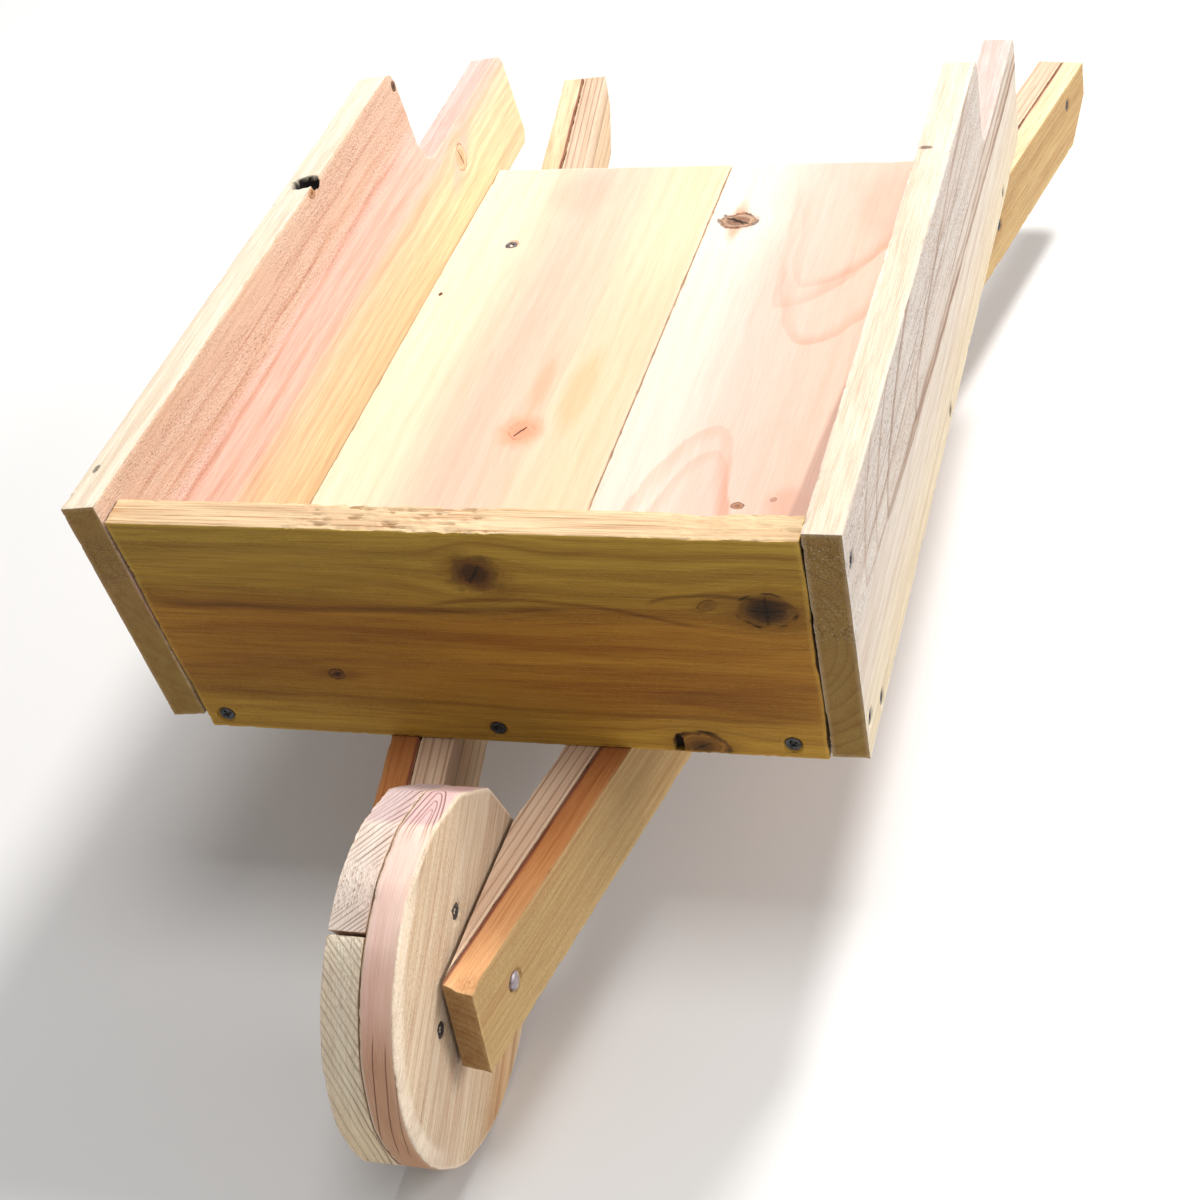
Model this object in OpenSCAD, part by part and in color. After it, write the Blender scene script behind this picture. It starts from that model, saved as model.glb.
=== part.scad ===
// Small wooden wheelbarrow of sawn cedar boards.
// An open-backed tray stands on two laminated rails. The rails run together
// at the front, where they carry a solid laminated disc wheel on a steel
// axle, and run out at the back as handles. Millimetres, +Z up, +X to the
// right hand of a person at the wheel looking towards the handles, +Y from
// the wheel to the handles. The origin is on the ground, under the middle
// of the whole object.

/* [Boards] */
// Thickness of the tray boards
board_t = 19; // [17:0.5:21]
// Width of the side boards
side_w = 142; // [138:1:146]
// Height of the front board, measured along its slope
front_h = 139.7; // [136:0.1:142]

/* [Tray] */
// Half width of the tray floor, at its underside
floor_half = 166.4; // [160:0.1:172]
// Length of the tray floor, from the front board's outer foot
floor_end = 556; // [540:1:570]
// Outward lean of the left side board, degrees
splay_left = 6.5; // [4:0.1:8]
// Outward lean of the right side board, degrees
splay_right = 0.5; // [0:0.1:3]
// Forward lean of the front board, degrees
front_lean = 2.6; // [0:0.1:4]
// Height of the left side's inner top edge above the floor's underside
top_left = 149.9; // [148:0.1:152]
// Height of the right side's inner top edge above the floor's underside
top_right = 144.4; // [143:0.1:147]
// Where the full height of the left side stops
step_left = 452; // [430:1:460]
// Where the full height of the right side stops
step_right = 453; // [430:1:460]
// Rear end of the left side's low tongue
tongue_left = 620; // [600:1:630]
// Rear end of the right side's low tongue
tongue_right = 612; // [595:1:625]
// Depth of the step in the left side
notch_left = 72.5; // [66:0.5:76]
// Depth of the step in the right side
notch_right = 64; // [60:0.5:70]
// Nose-down tilt of the tray against the rails, degrees
tray_tilt = 3.41; // [3:0.01:4]

/* [Rails] */
// Half of the angle between the two rails, degrees
rail_a = 9.76; // [9:0.01:10.5]
// Distance from the middle plane to a rail's outer face, under the front board
rail_x0 = 64.4; // [62:0.1:67]
// Height of the rails
rail_h = 52.5; // [50:0.5:56]
// Thickness of a rail's outer layer
outer_t = 16.3; // [15:0.1:18]
// Thickness of a rail's inner layer
inner_t = 17.8; // [16:0.1:19]
// Length of a rail in front of the front board
rail_front = 174.1; // [170:0.1:180]
// Length of a rail behind the front board
rail_back = 838.2; // [820:0.1:850]
// Distance from the middle plane to the flat cut beside the wheel
shave_x = 19.6; // [19.2:0.1:20.5]
// Length of the handle end's clipped lower corner
clip_l = 33; // [20:1:40]
// Height of the handle end's clipped lower corner
clip_h = 27; // [18:1:34]

/* [Wheel] */
// Radius of the wheel
wheel_r = 88.7; // [86:0.1:90]
// Thickness of each of the wheel's two layers
wheel_t = 17.8; // [16:0.1:17.9]
// Distance of the axle in front of the front board
axle_y = 137.6; // [134:0.1:141]
// Radius of the axle rod
axle_r = 4.76; // [4:0.01:5]
// Angle of the joint in the wheel's left layer, above the forward direction, degrees
joint_a = 55.5; // [0:0.5:90]

/* [Legs and crosspiece] */
// Width of a leg along the rail
leg_w = 52; // [40:1:60]
// Thickness of a leg
leg_t = 19; // [17:0.5:21]
// Position of a leg's front edge along the rail
leg_pos = 384; // [370:1:396]
// Front edge of the crosspiece under the tray
cross_y = 438; // [436:1:442]
// Width of the crosspiece
cross_w = 38; // [30:1:42]
// Half length of the crosspiece
cross_half = 150; // [146:1:160]

/* [Hidden] */
$fn = 96;

axle_drop = rail_h / 2;               // axle height below the rails' top
ground = axle_drop + wheel_r;         // rails' top above the ground
y_mid = (rail_back * cos(rail_a) + (outer_t + inner_t) * sin(rail_a)
         - axle_y - wheel_r) / 2;     // middle of the overall length
run_gap = 0.07;                       // radial clearance of the running bore
fit_gap = 0.02;                       // radial clearance of the fixed bores
cedar_a = [0.93, 0.80, 0.58];
cedar_b = [0.90, 0.72, 0.52];
cedar_c = [0.84, 0.62, 0.40];
steel = [0.62, 0.62, 0.66];

// --- frames -------------------------------------------------------------
// Rails frame: z = 0 on the rails' top, y = 0 under the front board's foot.
module place() { translate([0, -y_mid, ground]) children(); }
// Tray frame: z = 0 on the floor's underside.
module tray() { place() rotate([tray_tilt, 0, 0]) children(); }
// Frame of the right rail's outer face: +Y along the rail.
module rail_frame() { translate([rail_x0, 0, 0]) rotate([0, 0, -rail_a]) children(); }

// --- the tray -----------------------------------------------------------
// Everything in front of the leaning front face, to be cut away.
module ahead() {
    rotate([front_lean, 0, 0]) translate([-400, -400, -100]) cube([800, 400, 500]);
}
// Everything in front of the front board's back face.
module ahead_of_back() {
    rotate([front_lean, 0, 0]) translate([-400, -399.9 + board_t, -100]) cube([800, 400, 500]);
}
// Side board outline: x is the distance along the tray, y is the height
// against the top edge. The back is cut down in a step with a slanted
// inner corner, which leaves a low tongue with eased ends.
module side_outline(step, tongue, depth) {
    c = 17;
    polygon([
        [-40, -side_w], [tongue - 6, -side_w], [tongue, -side_w + 7],
        [tongue, -depth - 10], [tongue - 2.8, -depth - 2.8], [tongue - 10, -depth],
        [step + c, -depth], [step + 0.4 * c, -depth + 0.3 * c], [step, -depth + c],
        [step, -9], [step - 2.6, -2.6], [step - 9, 0], [-40, 0]
    ]);
}
// The right side board; the left one is its mirror image with its own sizes.
module side_board(splay, top, step, tongue, depth) {
    difference() {
        translate([floor_half + top * tan(splay), 0, top]) rotate([0, splay, 0])
            rotate([90, 0, 90]) linear_extrude(height = board_t)
                side_outline(step, tongue, depth);
        ahead();
    }
}
module left_side_board() {
    color(cedar_b) tray() mirror([1, 0, 0])
        side_board(splay_left, top_left, step_left, tongue_left, notch_left);
}
module right_side_board() {
    color(cedar_a) tray()
        side_board(splay_right, top_right, step_right, tongue_right, notch_right);
}
// Front board: a trapezoid that fits between the leaning sides.
module front_board() {
    h = front_h;
    color(cedar_c) tray() rotate([front_lean, 0, 0])
        translate([0, board_t, 0]) rotate([90, 0, 0]) linear_extrude(height = board_t)
            polygon([
                [0.1 - floor_half, 0], [floor_half - 0.1, 0],
                [floor_half - 0.1 + h * cos(front_lean) * tan(splay_right), h],
                [0.1 - floor_half - h * cos(front_lean) * tan(splay_left), h]
            ]);
}
// Floor boards: the outer edges are bevelled to the sides, the front ends to
// the front board, with a hair of clearance.
module floor_board_left() {
    color(cedar_a) tray() difference() {
        rotate([90, 0, 0]) translate([0, 0, -floor_end]) linear_extrude(height = floor_end)
            polygon([[0.15 - floor_half, 0], [-0.15, 0], [-0.15, board_t],
                     [0.15 - floor_half - board_t * tan(splay_left), board_t]]);
        ahead_of_back();
    }
}
module floor_board_right() {
    color(cedar_a) tray() difference() {
        rotate([90, 0, 0]) translate([0, 0, -floor_end]) linear_extrude(height = floor_end)
            polygon([[0.15, 0], [floor_half - 0.15, 0],
                     [floor_half - 0.15 + board_t * tan(splay_right), board_t], [0.15, board_t]]);
        ahead_of_back();
    }
}
// Crosspiece: a tapered block that fills the wedge between rails and floor.
module rear_crosspiece() {
    k = tan(tray_tilt);
    color(cedar_b) place() translate([-cross_half, 0, 0]) rotate([90, 0, 90])
        linear_extrude(height = 2 * cross_half)
            polygon([[cross_y, 0], [cross_y + cross_w, 0],
                     [cross_y + cross_w, (cross_y + cross_w) * k], [cross_y, cross_y * k]]);
}

// --- the rails ----------------------------------------------------------
// Plan position of the line at depth d inside a rail's outer face, where it
// meets the flat cut beside the wheel.
function meet_y(d) = (shave_x - rail_x0 + d / cos(rail_a)) / tan(rail_a);
// Plan position of a point given along the rail.
function on_rail(d, w) = [rail_x0 - d * cos(rail_a) + w * sin(rail_a),
                          d * sin(rail_a) + w * cos(rail_a)];
// Depth at which the square front cut meets the flat cut.
tip_d = (rail_x0 - rail_front * sin(rail_a) - shave_x) / cos(rail_a);

module axle_bore(gap) {
    translate([-100, -axle_y, -axle_drop]) rotate([0, 90, 0])
        cylinder(h = 200, r = axle_r + gap);
}
// The clipped lower corner of the handle end.
module handle_clip() {
    rail_frame() translate([-80, 0, 0]) rotate([90, 0, 90]) linear_extrude(height = 160)
        polygon([[rail_back - 1.3 * clip_l, -rail_h - 0.3 * clip_h],
                 [rail_back + 0.3 * clip_l, -rail_h - 0.3 * clip_h],
                 [rail_back + 0.3 * clip_l, -rail_h + 1.3 * clip_h]]);
}
module right_outer() {
    difference() {
        translate([0, 0, -rail_h]) linear_extrude(height = rail_h)
            polygon([on_rail(0, -rail_front), on_rail(0, rail_back),
                     on_rail(outer_t, rail_back), [shave_x, meet_y(outer_t)],
                     on_rail(tip_d, -rail_front)]);
        axle_bore(fit_gap);
        handle_clip();
    }
}
module right_inner() {
    difference() {
        translate([0, 0, -rail_h]) linear_extrude(height = rail_h)
            polygon([[shave_x, meet_y(outer_t)], on_rail(outer_t, rail_back),
                     on_rail(outer_t + inner_t, rail_back),
                     [shave_x, meet_y(outer_t + inner_t)]]);
        axle_bore(fit_gap);
        handle_clip();
    }
}
module right_rail_outer() { color(cedar_c) place() right_outer(); }
module right_rail_inner() { color(cedar_b) place() right_inner(); }
module left_rail_outer() { color(cedar_c) place() mirror([1, 0, 0]) right_outer(); }
module left_rail_inner() { color(cedar_b) place() mirror([1, 0, 0]) right_inner(); }

// --- the legs -----------------------------------------------------------
// Short posts on the inner faces of the rails, down to the ground.
module leg_post() {
    rail_frame() translate([-outer_t - inner_t - leg_t - 0.05, leg_pos, -ground])
        cube([leg_t, leg_w, ground - 2]);
}
module right_leg() { color(cedar_a) place() leg_post(); }
module left_leg() { color(cedar_a) place() mirror([1, 0, 0]) leg_post(); }

// --- the wheel ----------------------------------------------------------
module at_axle() { translate([0, -axle_y, -axle_drop]) children(); }
// One layer of the disc, from x to x + wheel_t, with its running bore.
module wheel_layer(x) {
    at_axle() translate([x, 0, 0]) rotate([0, 90, 0]) difference() {
        cylinder(h = wheel_t, r = wheel_r);
        translate([0, 0, -1]) cylinder(h = wheel_t + 2, r = axle_r + run_gap);
    }
}
// The half space on one side of the left layer's joint (s = 1 above, -1 below).
module joint_half(s) {
    at_axle() rotate([-joint_a, 0, 0])
        translate([-50, -200, s > 0 ? 0.1 : -200.1]) cube([100, 400, 200]);
}
module wheel_left_upper_board() {
    color(cedar_b) place() intersection() { wheel_layer(-wheel_t); joint_half(1); }
}
module wheel_left_lower_board() {
    color(cedar_a) place() intersection() { wheel_layer(-wheel_t); joint_half(-1); }
}
module wheel_right_board() { color(cedar_b) place() wheel_layer(0); }

// Axle: a plain rod with eased ends, held in both rails.
module axle() {
    l = 41.2;
    color(steel) place() at_axle() rotate([0, 90, 0]) rotate_extrude()
        polygon([[0, -l], [axle_r - 0.8, -l], [axle_r, -l + 0.8],
                 [axle_r, l - 0.8], [axle_r - 0.8, l], [0, l]]);
}
// Washers between the wheel and the rails.
module axle_washers() {
    t = 1.2;
    color(steel) place() at_axle() for (s = [-1, 1])
        translate([s * (shave_x - t / 2), 0, 0]) rotate([0, 90, 0]) difference() {
            cylinder(h = t, r = 11, center = true);
            cylinder(h = t + 2, r = axle_r + fit_gap, center = true);
        }
}

// --- the screws ---------------------------------------------------------
// Countersunk wood screw: the head lies flush with z = 0, the point is down.
module wood_screw(l) {
    rotate_extrude($fn = 32)
        polygon([[0, 0], [4.1, 0], [4.1, -0.5], [2, -3.4], [2, -l + 5], [0, -l]]);
}
module front_board_screws() {
    color(steel) tray() rotate([front_lean, 0, 0])
        for (x = [-155, -4, 148]) translate([x, 0, 9.2]) rotate([90, 0, 0]) wood_screw(32);
}
// Screws of a side: two into the end of the front board, three into the floor.
module side_screws(splay, top) {
    translate([floor_half + top * tan(splay), 0, top]) rotate([0, splay, 0])
        for (p = [[6, -24], [9, -top + 22], [37, -top + 9.5], [282, -top + 9.5], [528, -top + 9.5]])
            translate([board_t, p[0], p[1]]) rotate([0, 90, 0]) wood_screw(40);
}
module right_side_screws() { color(steel) tray() side_screws(splay_right, top_right); }
module left_side_screws() { color(steel) tray() mirror([1, 0, 0]) side_screws(splay_left, top_left); }
// Screws down through the floor into the rails and the crosspiece.
module floor_screws() {
    color(steel) tray() for (s = [-1, 1]) {
        translate([s * 52, 75, board_t]) wood_screw(45);
        translate([s * 129.5, 455, board_t]) wood_screw(60);
    }
}
module right_rail_screws() {
    for (w = [110, 330, 620, 793]) rail_frame() translate([0, w, w > 700 ? -15 : -26])
        rotate([0, 90, 0]) wood_screw(30);
}
module rail_screws() {
    color(steel) place() { right_rail_screws(); mirror([1, 0, 0]) right_rail_screws(); }
}
module right_leg_screws() {
    for (p = [[14, -16], [36, -38]]) rail_frame()
        translate([-outer_t - inner_t - leg_t - 0.05, leg_pos + p[0], p[1]])
            rotate([0, -90, 0]) wood_screw(42);
}
module leg_screws() {
    color(steel) place() { right_leg_screws(); mirror([1, 0, 0]) right_leg_screws(); }
}
// Four screws through the wheel's layers, on a circle about the axle.
module wheel_screws() {
    color(steel) place() at_axle() for (k = [0 : 3])
        rotate([-(96 + 90 * k), 0, 0]) translate([wheel_t, -38, 0]) rotate([0, 90, 0]) wood_screw(32);
}

left_side_board();
right_side_board();
front_board();
floor_board_left();
floor_board_right();
rear_crosspiece();
left_rail_outer();
left_rail_inner();
right_rail_outer();
right_rail_inner();
left_leg();
right_leg();
wheel_left_upper_board();
wheel_left_lower_board();
wheel_right_board();
axle();
axle_washers();
front_board_screws();
left_side_screws();
right_side_screws();
floor_screws();
rail_screws();
leg_screws();
wheel_screws();
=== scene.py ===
import math

import bmesh
import bpy
import numpy as np
from mathutils import Matrix, Vector


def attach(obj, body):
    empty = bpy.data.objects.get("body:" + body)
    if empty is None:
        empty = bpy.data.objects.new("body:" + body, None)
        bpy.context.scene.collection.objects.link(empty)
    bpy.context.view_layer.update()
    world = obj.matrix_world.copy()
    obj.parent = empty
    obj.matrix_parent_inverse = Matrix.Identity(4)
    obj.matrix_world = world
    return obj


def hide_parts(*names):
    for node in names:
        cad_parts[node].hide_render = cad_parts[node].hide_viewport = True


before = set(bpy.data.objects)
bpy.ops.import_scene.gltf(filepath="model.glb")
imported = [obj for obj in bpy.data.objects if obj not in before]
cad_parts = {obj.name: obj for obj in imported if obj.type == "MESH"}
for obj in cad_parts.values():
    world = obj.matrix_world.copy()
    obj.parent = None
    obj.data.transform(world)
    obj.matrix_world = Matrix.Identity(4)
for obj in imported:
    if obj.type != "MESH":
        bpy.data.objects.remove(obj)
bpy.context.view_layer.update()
scene = bpy.context.scene
MM = 0.001

# ---------------------------------------------------------------- camera
# Position and axes in the row frame.
cam_data = bpy.data.cameras.new("camera")
cam_data.sensor_width = 36.0
cam_data.sensor_fit = "HORIZONTAL"
cam_data.lens = 2289.14 / 1200.0 * 36.0
cam_data.clip_start, cam_data.clip_end = 0.05, 30.0
cam = bpy.data.objects.new("camera", cam_data)
scene.collection.objects.link(cam)
right = Vector((0.9543, 0.2593, -0.1485)).normalized()
fwd = Vector((-0.2968, 0.7660, -0.5702))
fwd = (fwd - right * fwd.dot(right)).normalized()
up = right.cross(fwd)
m = Matrix((right, up, -fwd)).transposed().to_4x4()
m.translation = Vector((0.3855407, -0.833474 - 0.302774, 0.712371 + 0.114950))
cam.matrix_world = m
scene.camera = cam

# ---------------------------------------------------------------- frames, mm
Y_MID, GROUND = 302.774, 114.95
TILT = math.radians(3.41)
LEAN = math.radians(2.6)
RA = math.radians(9.76)
RAILS = Matrix.Translation((0, -Y_MID, GROUND))
TRAY = RAILS @ Matrix.Rotation(TILT, 4, "X")


def axes(base, origin, u, v, w):
    """Matrix of a board's own frame, in mm, from its origin and axes in base."""
    m = Matrix((Vector(u), Vector(v), Vector(w))).transposed().to_4x4()
    m.translation = Vector(origin)
    return base @ m


# ---------------------------------------------------------------- noise
_rng = np.random.RandomState(11)
PERM = _rng.permutation(256)
PERM = np.concatenate([PERM, PERM])
GRAD = _rng.normal(size=(256, 3))
GRAD /= np.linalg.norm(GRAD, axis=1)[:, None]


def noise3(p, seed=0):
    p = np.asarray(p, float) + np.array([17.13, 5.71, 9.37]) * seed
    i = np.floor(p).astype(int)
    f = p - i
    s = f * f * f * (f * (f * 6 - 15) + 10)
    out = np.zeros(len(p))
    for dx in (0, 1):
        wx = s[:, 0] if dx else 1 - s[:, 0]
        for dy in (0, 1):
            wy = s[:, 1] if dy else 1 - s[:, 1]
            for dz in (0, 1):
                wz = s[:, 2] if dz else 1 - s[:, 2]
                h = PERM[(PERM[(PERM[(i[:, 0] + dx) & 255] + i[:, 1] + dy) & 255] + i[:, 2] + dz) & 255]
                g = GRAD[h]
                d = (g * (f - np.array([dx, dy, dz]))).sum(1)
                out += wx * wy * wz * d
    return out * 1.6


def fbm(p, seed=0, octaves=3, gain=0.5):
    out, a, tot = 0, 1.0, 0.0
    p = np.asarray(p, float)
    for k in range(octaves):
        out = out + a * noise3(p * 2**k, seed + k * 3)
        tot += a
        a *= gain
    return out / tot


def smooth(a, b, x):
    t = np.clip((np.asarray(x, float) - a) / (b - a), 0, 1)
    return t * t * (3 - 2 * t)


# ---------------------------------------------------------------- shader kit
def lin(c):
    return tuple((x / 255 / 12.92) if x / 255 <= 0.04045 else ((x / 255 + 0.055) / 1.055) ** 2.4 for x in c) + (1.0,)


class Nodes:
    def __init__(self, name):
        self.mat = bpy.data.materials.new(name)
        self.mat.use_nodes = True
        self.t = self.mat.node_tree
        self.t.nodes.clear()
        self.out = self.t.nodes.new("ShaderNodeOutputMaterial")
        self.bsdf = self.t.nodes.new("ShaderNodeBsdfPrincipled")
        self.t.links.new(self.bsdf.outputs[0], self.out.inputs[0])

    def put(self, sock, val):
        if isinstance(val, bpy.types.NodeSocket):
            self.t.links.new(val, sock)
        elif val is not None:
            sock.default_value = val

    def m(self, op, a, b=None, c=None, clamp=False):
        n = self.t.nodes.new("ShaderNodeMath")
        n.operation = op
        n.use_clamp = clamp
        for s, x in zip(n.inputs, (a, b, c)):
            self.put(s, x)
        return n.outputs[0]

    def add(self, a, b):
        return self.m("ADD", a, b)

    def sub(self, a, b):
        return self.m("SUBTRACT", a, b)

    def mul(self, a, b):
        return self.m("MULTIPLY", a, b)

    def mad(self, a, b, c):
        return self.m("MULTIPLY_ADD", a, b, c)

    def comb(self, x, y, z):
        n = self.t.nodes.new("ShaderNodeCombineXYZ")
        for s, v in zip(n.inputs, (x, y, z)):
            self.put(s, v)
        return n.outputs[0]

    def sep(self, v):
        n = self.t.nodes.new("ShaderNodeSeparateXYZ")
        self.put(n.inputs[0], v)
        return n.outputs

    def scale(self, v, s):
        n = self.t.nodes.new("ShaderNodeVectorMath")
        n.operation = "SCALE"
        self.put(n.inputs[0], v)
        n.inputs["Scale"].default_value = s
        return n.outputs[0]

    def noise(self, v, scale=1.0, detail=2.0, rough=0.5, dist=0.0):
        n = self.t.nodes.new("ShaderNodeTexNoise")
        n.noise_dimensions = "3D"
        self.put(n.inputs["Vector"], v)
        n.inputs["Scale"].default_value = scale
        n.inputs["Detail"].default_value = detail
        n.inputs["Roughness"].default_value = rough
        n.inputs["Distortion"].default_value = dist
        return n.outputs[0]

    def step(self, x, a, b, lo=0.0, hi=1.0):
        """Smooth step from lo at a to hi at b."""
        n = self.t.nodes.new("ShaderNodeMapRange")
        n.interpolation_type = "SMOOTHSTEP"
        for s, v in zip(n.inputs, (x, a, b, lo, hi)):
            self.put(s, v)
        return n.outputs[0]

    def ramp(self, fac, stops, interp="LINEAR"):
        n = self.t.nodes.new("ShaderNodeValToRGB")
        r = n.color_ramp
        r.interpolation = interp
        while len(r.elements) > 1:
            r.elements.remove(r.elements[-1])
        for i, (p, c) in enumerate(stops):
            e = r.elements[0] if i == 0 else r.elements.new(p)
            e.position = p
            e.color = c if len(c) == 4 else lin(c)
        self.put(n.inputs[0], fac)
        return n.outputs[0]

    def fac(self, fac, stops):
        return self.ramp(fac, [(p, (v, v, v, 1.0)) for p, v in stops])

    def mix(self, fac, a, b, mode="MIX"):
        n = self.t.nodes.new("ShaderNodeMix")
        n.data_type = "RGBA"
        n.blend_type = mode
        n.clamp_factor = True
        self.put(n.inputs[0], fac)
        self.put(n.inputs[6], a)
        self.put(n.inputs[7], b)
        return n.outputs[2]

    def attr(self, name):
        n = self.t.nodes.new("ShaderNodeAttribute")
        n.attribute_name = name
        return n.outputs["Fac"]

    def bump(self, height, dist, strength=1.0, normal=None):
        n = self.t.nodes.new("ShaderNodeBump")
        n.inputs["Strength"].default_value = strength
        n.inputs["Distance"].default_value = dist
        self.put(n.inputs["Height"], height)
        if normal is not None:
            self.put(n.inputs["Normal"], normal)
        return n.outputs[0]


def cedar(name, spec, end=False):
    """Sawn cedar as a solid texture in the board's own frame: u along the grain, v across the board, w through it, in mm."""
    g = Nodes(name)
    s = spec
    seed = s.get("seed", 1) * 13.7
    at_ = g.t.nodes.new("ShaderNodeAttribute")
    at_.attribute_name = s.get("coords", "grain")
    u, v, w = g.sep(at_.outputs["Vector"])
    top = g.attr("top")
    off_top = g.sub(1.0, top)

    # slow wander of the grain
    warp = s.get("warp", 5.0)
    n1 = g.noise(g.comb(g.mad(u, 0.0045, seed), g.mad(v, 0.012, seed * 0.7), g.mul(w, 0.012)), 1.0, 2.0, 0.45)
    n2 = g.noise(g.comb(g.mad(u, 0.02, seed * 1.9), g.mad(v, 0.05, seed), g.mul(w, 0.05)), 1.0, 1.0)
    v1 = g.add(v, g.add(g.mul(g.sub(n1, 0.5), 2 * warp), g.mul(g.sub(n2, 0.5), warp * 0.35)))
    wob = g.noise(g.comb(g.mad(u, 0.16, seed), g.mad(v, 0.16, seed * 2.1), g.mul(w, 0.03)), 1.0, 3.0, 0.6)
    knots = []
    for k in s.get("knots", []):
        du, dv = g.sub(u, k["u"]), g.sub(v, k["v"])
        if k.get("rot"):
            c_, s_ = math.cos(math.radians(k["rot"])), math.sin(math.radians(k["rot"]))
            du, dv = g.add(g.mul(du, c_), g.mul(dv, s_)), g.sub(g.mul(dv, c_), g.mul(du, s_))
        x, y = g.mul(du, 1 / k["a"]), g.mul(dv, 1 / k["b"])
        r2 = g.add(g.mul(x, x), g.mul(y, y))
        r = g.add(g.m("SQRT", r2), g.mul(g.sub(wob, 0.5), k.get("wob", 0.45)))
        bend = g.m("EXPONENT", g.mul(r2, -1 / k.get("reach", 3.4)))
        v1 = g.sub(v1, g.mul(g.mul(dv, k.get("bend", 0.75)), bend))
        knots.append((k, du, dv, r, r2))

    # growth rings about a pith line beside or under the board
    um = s.get("um", 0.0)
    uu = g.sub(u, um)
    depth = g.add(g.mad(uu, s.get("tw", 0.0), s.get("w0", -60.0)), g.mul(g.mul(uu, uu), s.get("qw", 0.0)))
    vline = g.mad(uu, s.get("tv", 0.0), s.get("v0", 0.0))
    if s.get("qv"):
        vline = g.add(vline, g.mul(g.mul(uu, uu), s["qv"]))
    dvv = g.sub(v1, vline)
    dww = g.sub(g.mul(g.m("ABSOLUTE", w), -1.0) if s.get("absw") else w, depth)
    d = g.m("SQRT", g.add(g.mul(dvv, dvv), g.mul(dww, dww)))
    ring = s.get("ring", 4.0)
    nr = g.noise(g.comb(g.mad(d, 0.06 / ring * 4, seed), seed * 0.31, 0.0), 1.0, 2.0, 0.6)
    rho = g.add(g.mul(d, 1 / ring), g.mul(g.sub(nr, 0.5), 3.2))
    frac = g.m("FRACT", rho)
    line = g.fac(frac, s.get("profile", [(0.0, 0.25), (0.12, 0.0), (0.55, 0.08), (0.86, 0.55), (0.955, 1.0), (1.0, 0.3)]))
    patch = g.noise(g.comb(g.mad(u, 0.006, seed * 3), g.mad(v, 0.03, 1.0), g.mul(w, 0.03)), 1.0, 2.0)
    rs = s.get("ring_strength", 0.35) * (1.7 if end else 1.0)
    line = g.mul(line, g.step(patch, 0.3, 0.62, rs * 0.45, rs * 1.15))

    if s.get("line_gap"):
        g0, g1 = s["line_gap"]
        line = g.mul(line, g.sub(1.0, g.mul(g.mul(g.step(u, g0 - 5, g0 + 5), g.step(u, g1 - 5, g1 + 5, 1.0, 0.0)), 0.8)))

    # colour by bands across the board
    lo, hi = s["span"]
    vb = g.mul(g.sub(v1, lo), 1 / (hi - lo))
    if s.get("band_by_ring"):
        a0, a1 = s["band_by_ring"]
        vb = g.mul(g.sub(d, a0), 1 / (a1 - a0))
    col = g.ramp(vb, [((p - lo) / (hi - lo), c) for p, c in s["bands"]] if not s.get("band_by_ring") else s["bands"], "EASE")
    # Upward faces (the top attribute) get their own colour from top_cols, with grain lines and flecks damped by
    # top_calm. This is partly the top edges' own tone and partly painted light for the light falling on the tops. On
    # the outer rails the ramp also carries painted shade under the tray.
    if s.get("top_cols"):
        tcol = g.ramp(g.mul(g.sub(u, s["top_cols"][0][0]), 1 / (s["top_cols"][-1][0] - s["top_cols"][0][0])),
                      [((q - s["top_cols"][0][0]) / (s["top_cols"][-1][0] - s["top_cols"][0][0]), c) for q, c in s["top_cols"]], s.get("top_ramp", "LINEAR"))
        col = g.mix(g.mul(top, s.get("top_k", 0.92)), col, tcol)
        ts = g.noise(g.comb(g.mad(u, 0.012, seed), 3.0, g.mul(w, 0.75)), 1.0, 2.0, 0.6)
        col = g.mix(g.mul(g.mul(g.step(ts, 0.5, 0.72), top), s.get("top_lines", 0.25)), col, lin(s.get("top_late", (196, 142, 90))), "MULTIPLY")
        line = g.mul(line, g.sub(1.0, g.mul(top, s.get("top_calm", 0.8))))
    if s.get("edge_bands"):  # narrow faces and inner parts of another colour
        e0, e1, c = s["edge_bands"]
        aw = g.add(g.m("ABSOLUTE", w), g.mul(g.sub(n2, 0.5), 2.2))
        col = g.mix(g.step(aw, e0, e1), col, lin(c))
    # ubands: colour bands along the length of a wheel rim, multiplied on. Besides the rim's own tone they carry painted
    # shade: a sharp step to mauve on the upper rim and a darker lower rim.
    if s.get("ubands"):
        ub = s["ubands"]
        col = g.mix(1.0, col, g.ramp(g.mul(g.sub(u, ub[0][0]), 1 / (ub[-1][0] - ub[0][0])), [((q - ub[0][0]) / (ub[-1][0] - ub[0][0]), c) for q, c in ub], "EASE"), "MULTIPLY")
    # End faces take end_col. On the side boards that colour is partly painted shade.
    if end:
        col = g.mix(0.9, col, lin(s.get("end_col", (176, 140, 92))))
    for zone in s.get("zones", []):  # soft patches: centre, radii, colour, strength
        zu, zv, za, zb, zc, zs = zone
        x = g.mul(g.sub(u, zu), 1 / za)
        y = g.mul(g.sub(v1, zv), 1 / zb)
        r = g.m("SQRT", g.add(g.mul(x, x), g.mul(y, y)))
        col = g.mix(g.mul(g.step(r, 0.35, 1.0, 1.0, 0.0), zs), col, lin(zc))

    if s.get("wedge"):  # a darker heartwood band along one edge
        wv, wu, wt, wend, c, kk = s["wedge"]
        bound = g.sub(wv, g.mul(g.sub(u, wu), wt))
        wm = g.mul(g.step(g.sub(g.add(v, g.mul(g.sub(n2, 0.5), 3.0)), bound), -3.0, 0.5, 1.0, 0.0), g.step(u, wend - 40, wend, 1.0, 0.0))
        col = g.mix(g.mul(wm, kk), col, lin(c))

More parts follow.
